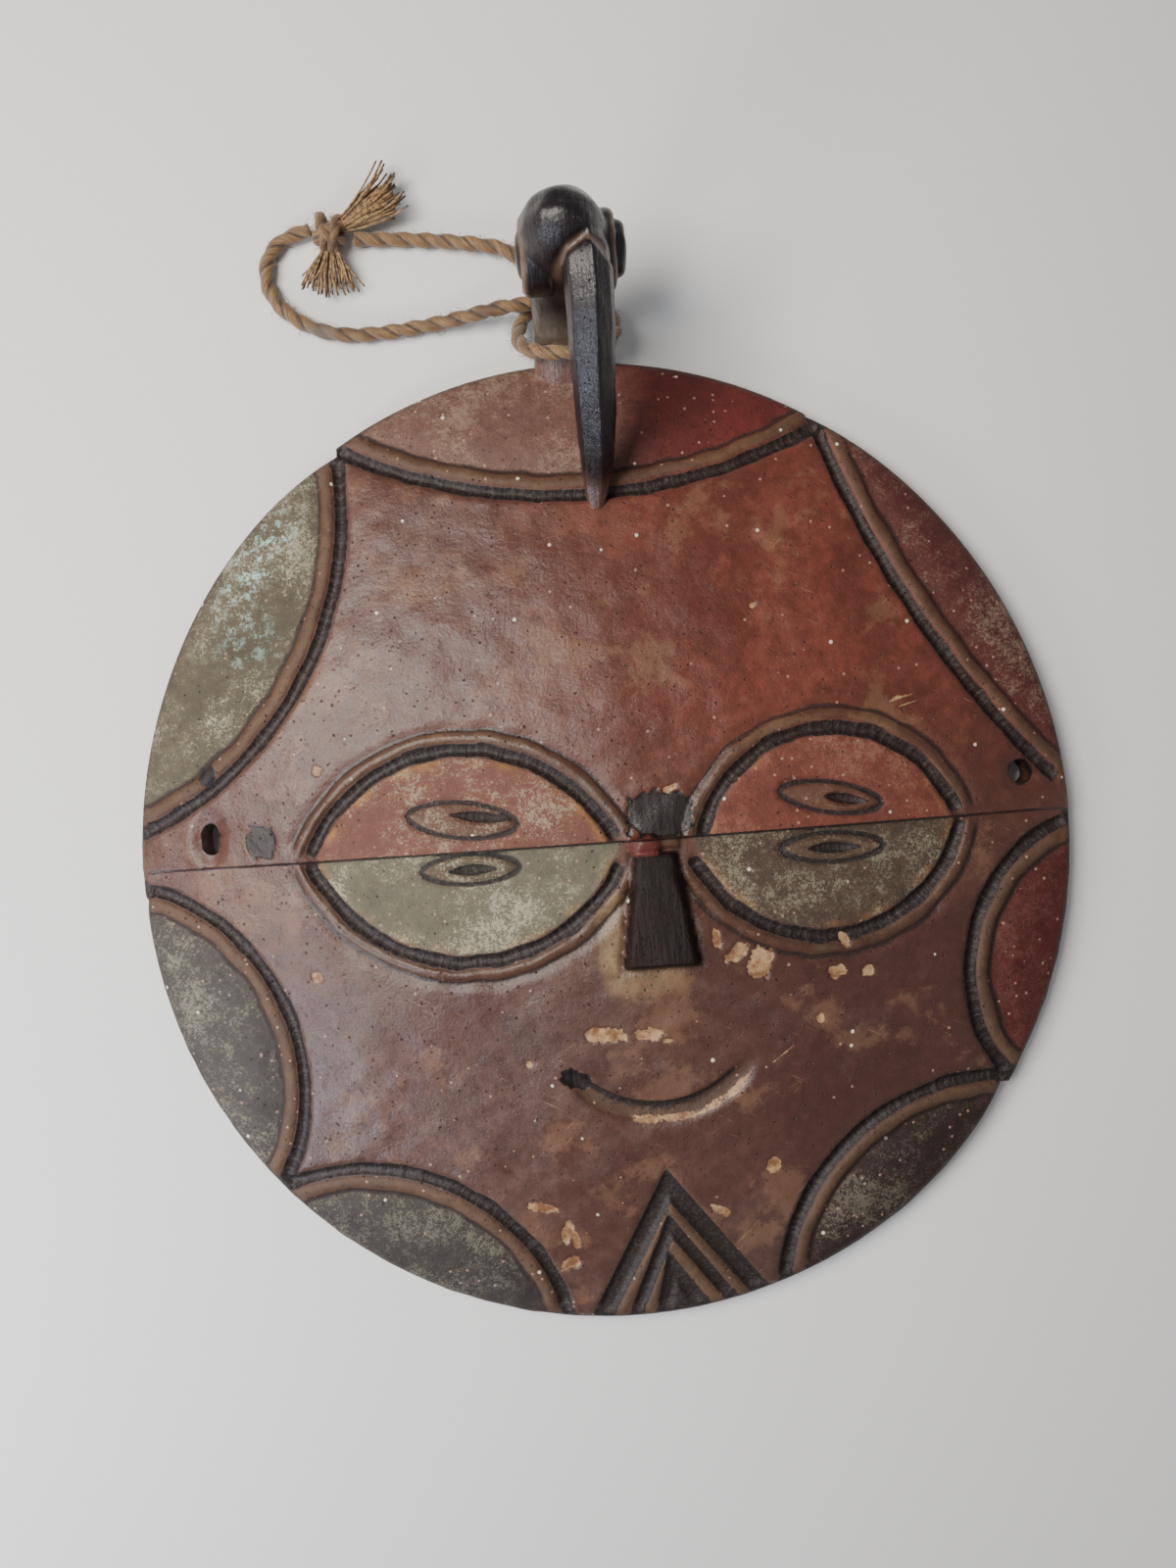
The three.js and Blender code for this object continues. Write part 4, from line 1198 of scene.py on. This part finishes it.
# Noises of the wood: repeats in a metre, detail and roughness
woodNoises = {
    "broad": (45.0, 3.0, 0.55), "dents": (120.0, 2.0, 0.5), "mottle": (260.0, 5.0, 0.65),
    "fine": (900.0, 4.0, 0.7), "grit": (2400.0, 2.0, 0.6), "varnish": (24.0, 5.0, 0.6),
    "dry": (38.0, 6.0, 0.68),
}
# Directions of the scuffs in radians, and how many scuffed places there are in a metre
scuffTurns = [(-0.75, 38.0), (0.5, 52.0)]
maskBump = {"strength": 0.7, "distance": 0.0006}
# Tones of the fields and the eyes in the order of their arcs, and the pale crust on each eye
fieldNames = ["topField", "upperRight", "rightField", "lowerRight", "lowField", "lowerLeft", "upperLeft"]
eyeFieldNames = ["upperEyeLeft", "lowerEyeLeft", "upperEyeRight", "lowerEyeRight"]
eyePatina = (0.4, 0.58, 0.12, 0.3)


# The base tone at every point, with each layer laid over it by its share.
def layered(base, layers):
    tones = base
    for share, name in layers:
        share = np.clip(share, 0, 1)[:, None]
        tones = tones * (1 - share) + wood[name] * share
    return tones


def paintMask():
    x, y, z = offFrame(corners(carvedMask)).T
    height, marks, fields, eyeFields = carvedHeights(x, y)
    share = edgeShare(x, y)
    isBird = ((z > height + 0.3) & (y > 102) & (np.abs(x - 3) < 24)) | ((share > 1.004) & (y > 100))
    isBack = (z < height - 4) & ~isBird
    isEdge = ramp(0.985, 0.997, share) * ~isBird
    dust = ramp(6, 1, np.hypot(x + 0.5, np.maximum(0, np.abs(y + 29) - 10)))
    dust = np.maximum(dust, 0.8 * ramp(8, 1, np.hypot(np.maximum(0, np.abs(x - 10) - 8), y + 44)))
    # Painted shadow: the top field's right part is darker and redder, partly its own tone and partly the
    # beak's shadow painted in
    tones = layered(np.tile(wood["face"], (len(x), 1)), [
        (ramp(-45, 35, x) * ramp(-15, 45, y), "faceRight"), (ramp(10, -60, y) * 0.8, "faceLow"),
        (ramp(25, 75, x) * ramp(-8, -40, y) * 0.8, "cheekRight"), *zip(fields, fieldNames),
        (fields[0] * ramp(0, 30, x), "topRight"), *zip(eyeFields, eyeFieldNames), (marks["tan"], "tan"),
        (marks["ridge"] * 0.85, "ridge"), (0.55 * dust * marks["face"], "dust"), (marks["nose"], "nose"),
        (marks["noseSide"] * 0.5, "groove"), (marks["bump"] * ramp(17.5, 16, x), "bump"),
        (marks["bump"] * ramp(16, 17.5, x), "ridge"), (isEdge * 0.8, "edge"),
    ])
    tones[isBack] = wood["back"]
    worn = 0.5 * browShare(x, y, z, 1.7)
    for side, bossY, bossZ, outer, _, reach, _ in eyeBosses:
        fromAxis = np.hypot(y - discTop - bossY, z - bossZ)
        out = side * (x - head["middle"][0])
        rim = ramp(1.9, 0.5, np.abs(fromAxis - outer + 0.7)) * ramp(reach - 2.6, reach - 1.3, out)
        worn = np.maximum(worn, 0.8 * rim * ramp(36, 46, z))
    birdTone = layered(np.tile(wood["bird"], (len(x), 1)), [
        (ramp(36, 20, z) * ramp(148, 154, y) * 0.9, "neck"),
        (ramp(30, 20, z) * ramp(162, 153, y) * 0.85, "topField"), (worn, "birdBrow"),
    ])
    tones[isBird] = birdTone[isBird]
    onTop = (~isBird & ~isBack).astype(float)
    middle = marks["middle"]
    fieldPatina = (
        0.18 * ramp(25, -5, x), 0.26 - 0.22 * middle, 0.05, 0.2, 0.2, 0.32, 0.45 + 0.5 * middle,
    )
    patina = sum(amount * field for amount, field in zip(fieldPatina + eyePatina, fields + eyeFields))
    aside, along = (x + 107) * 0.77 - (y - 98) * 0.64, (x + 107) * 0.64 + (y - 98) * 0.77
    verdigris = ramp(1.1, 0.35, np.hypot(aside / 9, along / 24))
    verdigris += 0.4 * ramp(16, 4, np.hypot(x + 112, y - 72))
    keep(carvedMask, "woodTint", tones, "FLOAT_COLOR")
    # The groove share also holds the painted shadow line along the midline step
    for name, values in {
        "woodGroove": np.maximum(marks["groove"], 0.6 * marks["line"]), "woodPatina": patina,
        "woodVerdigris": verdigris * fields[6], "woodBare": marks["bare"], "woodDark": marks["dark"],
        "woodCrease": marks["crease"], "woodFace": marks["face"] * (1 - marks["nose"]) * (1 - isEdge),
        "woodNose": marks["nose"],
    }.items():
        keep(carvedMask, name, values * onTop)
    keep(carvedMask, "woodAlong", marks["along"])
    keep(carvedMask, "woodBird", isBird.astype(float))


# Cells about 1 / scale apart: the distance from each one's middle, and a random number for each.
def cells(place, scale):
    found = addNode(place.tree, "ShaderNodeTexVoronoi", {"Vector": place, "Scale": scale}, feature="F1")
    chance = made(place.tree, "ShaderNodeSeparateColor", {0: found.outputs["Color"]})
    return Value(place.tree, found.outputs["Distance"]), chance


def mapped(place, **values):
    return made(place.tree, "ShaderNodeMapping", {0: place, **values})


def maskMaterial():
    # Hand-carved wood: waxed red-brown face, dusty fields, dark tool-marked grooves and a black-brown bird
    material, tree = newMaterial("carvedWood")
    place = objectPlace(tree)
    groove, patina, verdigris, bare, dark, face, along, noseShare, birdShare, crease = (
        stored(tree, "wood" + name) for name in (
            "Groove", "Patina", "Verdigris", "Bare", "Dark", "Face", "Along", "Nose", "Bird", "Crease",
        )
    )
    broad, dents, mottle, fine, grit, blots, wear = (noise(place, *values) for values in woodNoises.values())
    grain = noise(mapped(place, Scale=(900.0, 70.0, 120.0)), 1.0, 4.0, 0.65)
    toolMarks = noise(vector(tree, X=along * 0.62, Y=mottle * 2.2), 1.0, 2.0, 0.6)
    shade = broad.ranged(0.3, 0.7, 0.8, 1.2) * mottle.ranged(0.25, 0.75, 0.7, 1.3)
    shade = shade * grit.ranged(0.25, 0.75, 0.82, 1.18)
    tint = stored(tree, "woodTint", "Color")
    tone = made(tree, "ShaderNodeVectorMath", {0: tint, 3: shade}, operation="SCALE")

    def laid(tone, share, name):
        return (share * wearShares[name]).mix(tone, wood[name])

    # Old varnish left in blots: darker and redder than the tan-brown wear beside it
    tone = laid(tone, blots.between(0.48, 0.53) * face, "varnish")
    tone = laid(tone, wear.between(0.53, 0.62) * face, "dry")
    # Fine pale scuffs in two directions
    scuffs = []
    for turn, gate in scuffTurns:
        lines = mapped(mapped(place, Rotation=(0, 0, turn)), Scale=(110, 1900, 110))
        line = noise(lines, 1.0, 1.0, 0.4).between(0.7, 0.76)
        scuffs.append(line * noise(place, gate, 2.0).between(0.54, 0.66))
    tone = laid(tone, scuffs[0].most(scuffs[1]) * face, "scuff")
    # Pale grey-green crust on the fields, and blue-green corrosion at the upper left
    crust = (fine * 0.45 + grit * 0.3 + mottle * 0.25 + (broad - 0.5) * 0.3).between(0.49, 0.57)
    crust = (crust * patina * broad.ranged(0.38, 0.56, 0.35, 1.1)).clamped()
    tone = laid(tone, crust, "crust")
    copper = (mottle * 0.6 + fine * 0.4).between(0.5, 0.6) * verdigris
    tone = laid(tone, copper.clamped(), "copper")
    # Dark pits all over, small pale specks of dust on the face
    fromPit, _ = cells(place, 420.0)
    pits = fromPit.between(0.24, 0.12) * fine.between(0.5, 0.62)
    tone = laid(tone, pits, "pit")
    grained = birdShare.most(noseShare)
    fromCrumb, chance = cells(place, 330.0)
    crumbs = fromCrumb.between(0.2, 0.1) * chance.above(face * 0.3 + 0.62) * (1.0 - grained)
    tone = laid(tone, crumbs, "crumb")
    fromSpeck, chance = cells(place, 105.0)
    specks = fromSpeck.between(0.085, 0.05) * chance.above(0.45) * (1.0 - birdShare)
    tone = laid(tone, specks, "speck")
    # Dark grooves with lighter tool marks across them; the lighter tone is also a painted highlight along the
    # grooves
    cut = (groove + (mottle - 0.5) * 0.5).between(0.25, 0.7)
    grooveTone = (toolMarks * 0.5 + fine * 0.5).between(0.47, 0.6).mix(wood["groove"], wood["toolMarkAndHighlight"])
    tone = (cut * 0.94).mix(tone, grooveTone)
    # Painted shade: the narrow creases between ridge and field are darkened
    tone = laid(tone, (crease + (mottle - 0.5) * 0.9).between(0.25, 0.85), "crease")
    # Dark flaked places where the paint has come off, and the painted shade round the tie holes
    flakedAndHoleShade = (dark + (fine - 0.5) * 0.5).between(0.3, 0.6)
    tone = flakedAndHoleShade.mix(tone, grain.between(0.4, 0.65).mix(wood["flakedDarkAndHoleShade"], wood["flakedGrainAndHoleShade"]))
    bared = (bare + (fine - 0.5) * 1.3).between(0.42, 0.56)
    tone = bared.mix(tone, mottle.between(0.35, 0.65).mix(wood["bareBrown"], wood["barePale"]))
    # Grain of the bird and the nose
    grainTone = noseShare.mix(wood["birdGrain"], wood["noseGrain"])
    tone = (grain.between(0.5, 0.72) * grained * 0.45).mix(tone, grainTone)
    rough = 0.62 - face * 0.24 + (mottle - 0.5) * 0.35 + patina * 0.2 - cut * 0.1 - birdShare * 0.27
    wax = (face * 0.19 + birdShare * 0.28) * (1.0 - bared.most(flakedAndHoleShade))
    relief = fine * 0.45 + grit * 0.12 + mottle * (0.9 - face * 0.55) + dents * face * 1.1
    relief = relief - pits * 0.9 + specks * 0.8 + toolMarks * cut * 1.2 + grain * grained + crust * 0.6
    bump = bumped(relief * (1.0 - birdShare * 0.3), **maskBump)
    finished(tree, {
        "Base Color": tone, "Roughness": rough.clamped(), "Normal": bump, "Coat Weight": wax,
        "Coat Roughness": 0.18, "Coat Normal": bump, "Specular IOR Level": 0.33 - noseShare * 0.1,
    })
    return material


paintMask()
carvedMask.data.materials.clear()
carvedMask.data.materials.append(maskMaterial())
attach(carvedMask, "root")
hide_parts("mask")
print("mask painted")

# Floor and light: a plain pale floor, a soft window light from the left, a weak fill light from the
# right, and a low cool light that shows the bird's left side
floorMake = {"half": 3, "z": -0.0004, "tone": "#dcdad6"}
lightMake = {
    "windowLight": {"power": 9.0, "size": 0.4, "at": (-0.38, 0.14, 0.64), "aim": (-0.02, 0, 0),
                    "tone": "#fffaf3"},
    "fillLight": {"power": 1.0, "size": 1.2, "at": (0.7, -0.5, 1.0), "aim": (0, 0, 0), "tone": "#fff1e4"},
    "lowLight": {"power": 1.9, "size": 0.16, "at": (-0.396, -0.27, 0.27), "aim": (0.006, 0.11, 0.045),
                 "tone": "#e2ebff"},
}
skyMake = {"power": 0.36, "tone": "#dfe6f2"}


def makeFloor():
    half, z = floorMake["half"], floorMake["z"]
    places = [(-half, -half, z), (half, -half, z), (half, half, z), (-half, half, z)]
    floor = meshPiece("floor", places, [(0, 1, 2, 3)])
    # Plain pale matt floor
    material, tree = newMaterial("paleFloor")
    finished(tree, {"Base Color": colour(floorMake["tone"]), "Roughness": 0.9})
    floor.data.materials.append(material)


def addLight(name, values):
    lamp = bpy.data.lights.new(name, "AREA")
    lamp.energy = values["power"]
    lamp.size = values["size"]
    lamp.color = colour(values["tone"])[:3]
    light = addObject(name, lamp)
    light.location = values["at"]
    aim = np.array(values["aim"]) - np.array(values["at"])
    flat = math.hypot(aim[0], aim[1])
    light.rotation_euler = (math.atan2(flat, -aim[2]), 0, math.atan2(aim[1], aim[0]) - math.pi / 2)


def makeSky():
    world = bpy.data.worlds.new("softSky")
    world.use_nodes = True
    world.node_tree.nodes.clear()
    sky = made(world.node_tree, "ShaderNodeBackground", {0: colour(skyMake["tone"]), 1: skyMake["power"]})
    addNode(world.node_tree, "ShaderNodeOutputWorld", {0: sky})
    bpy.context.scene.world = world


makeFloor()
for name, values in lightMake.items():
    addLight(name, values)
makeSky()
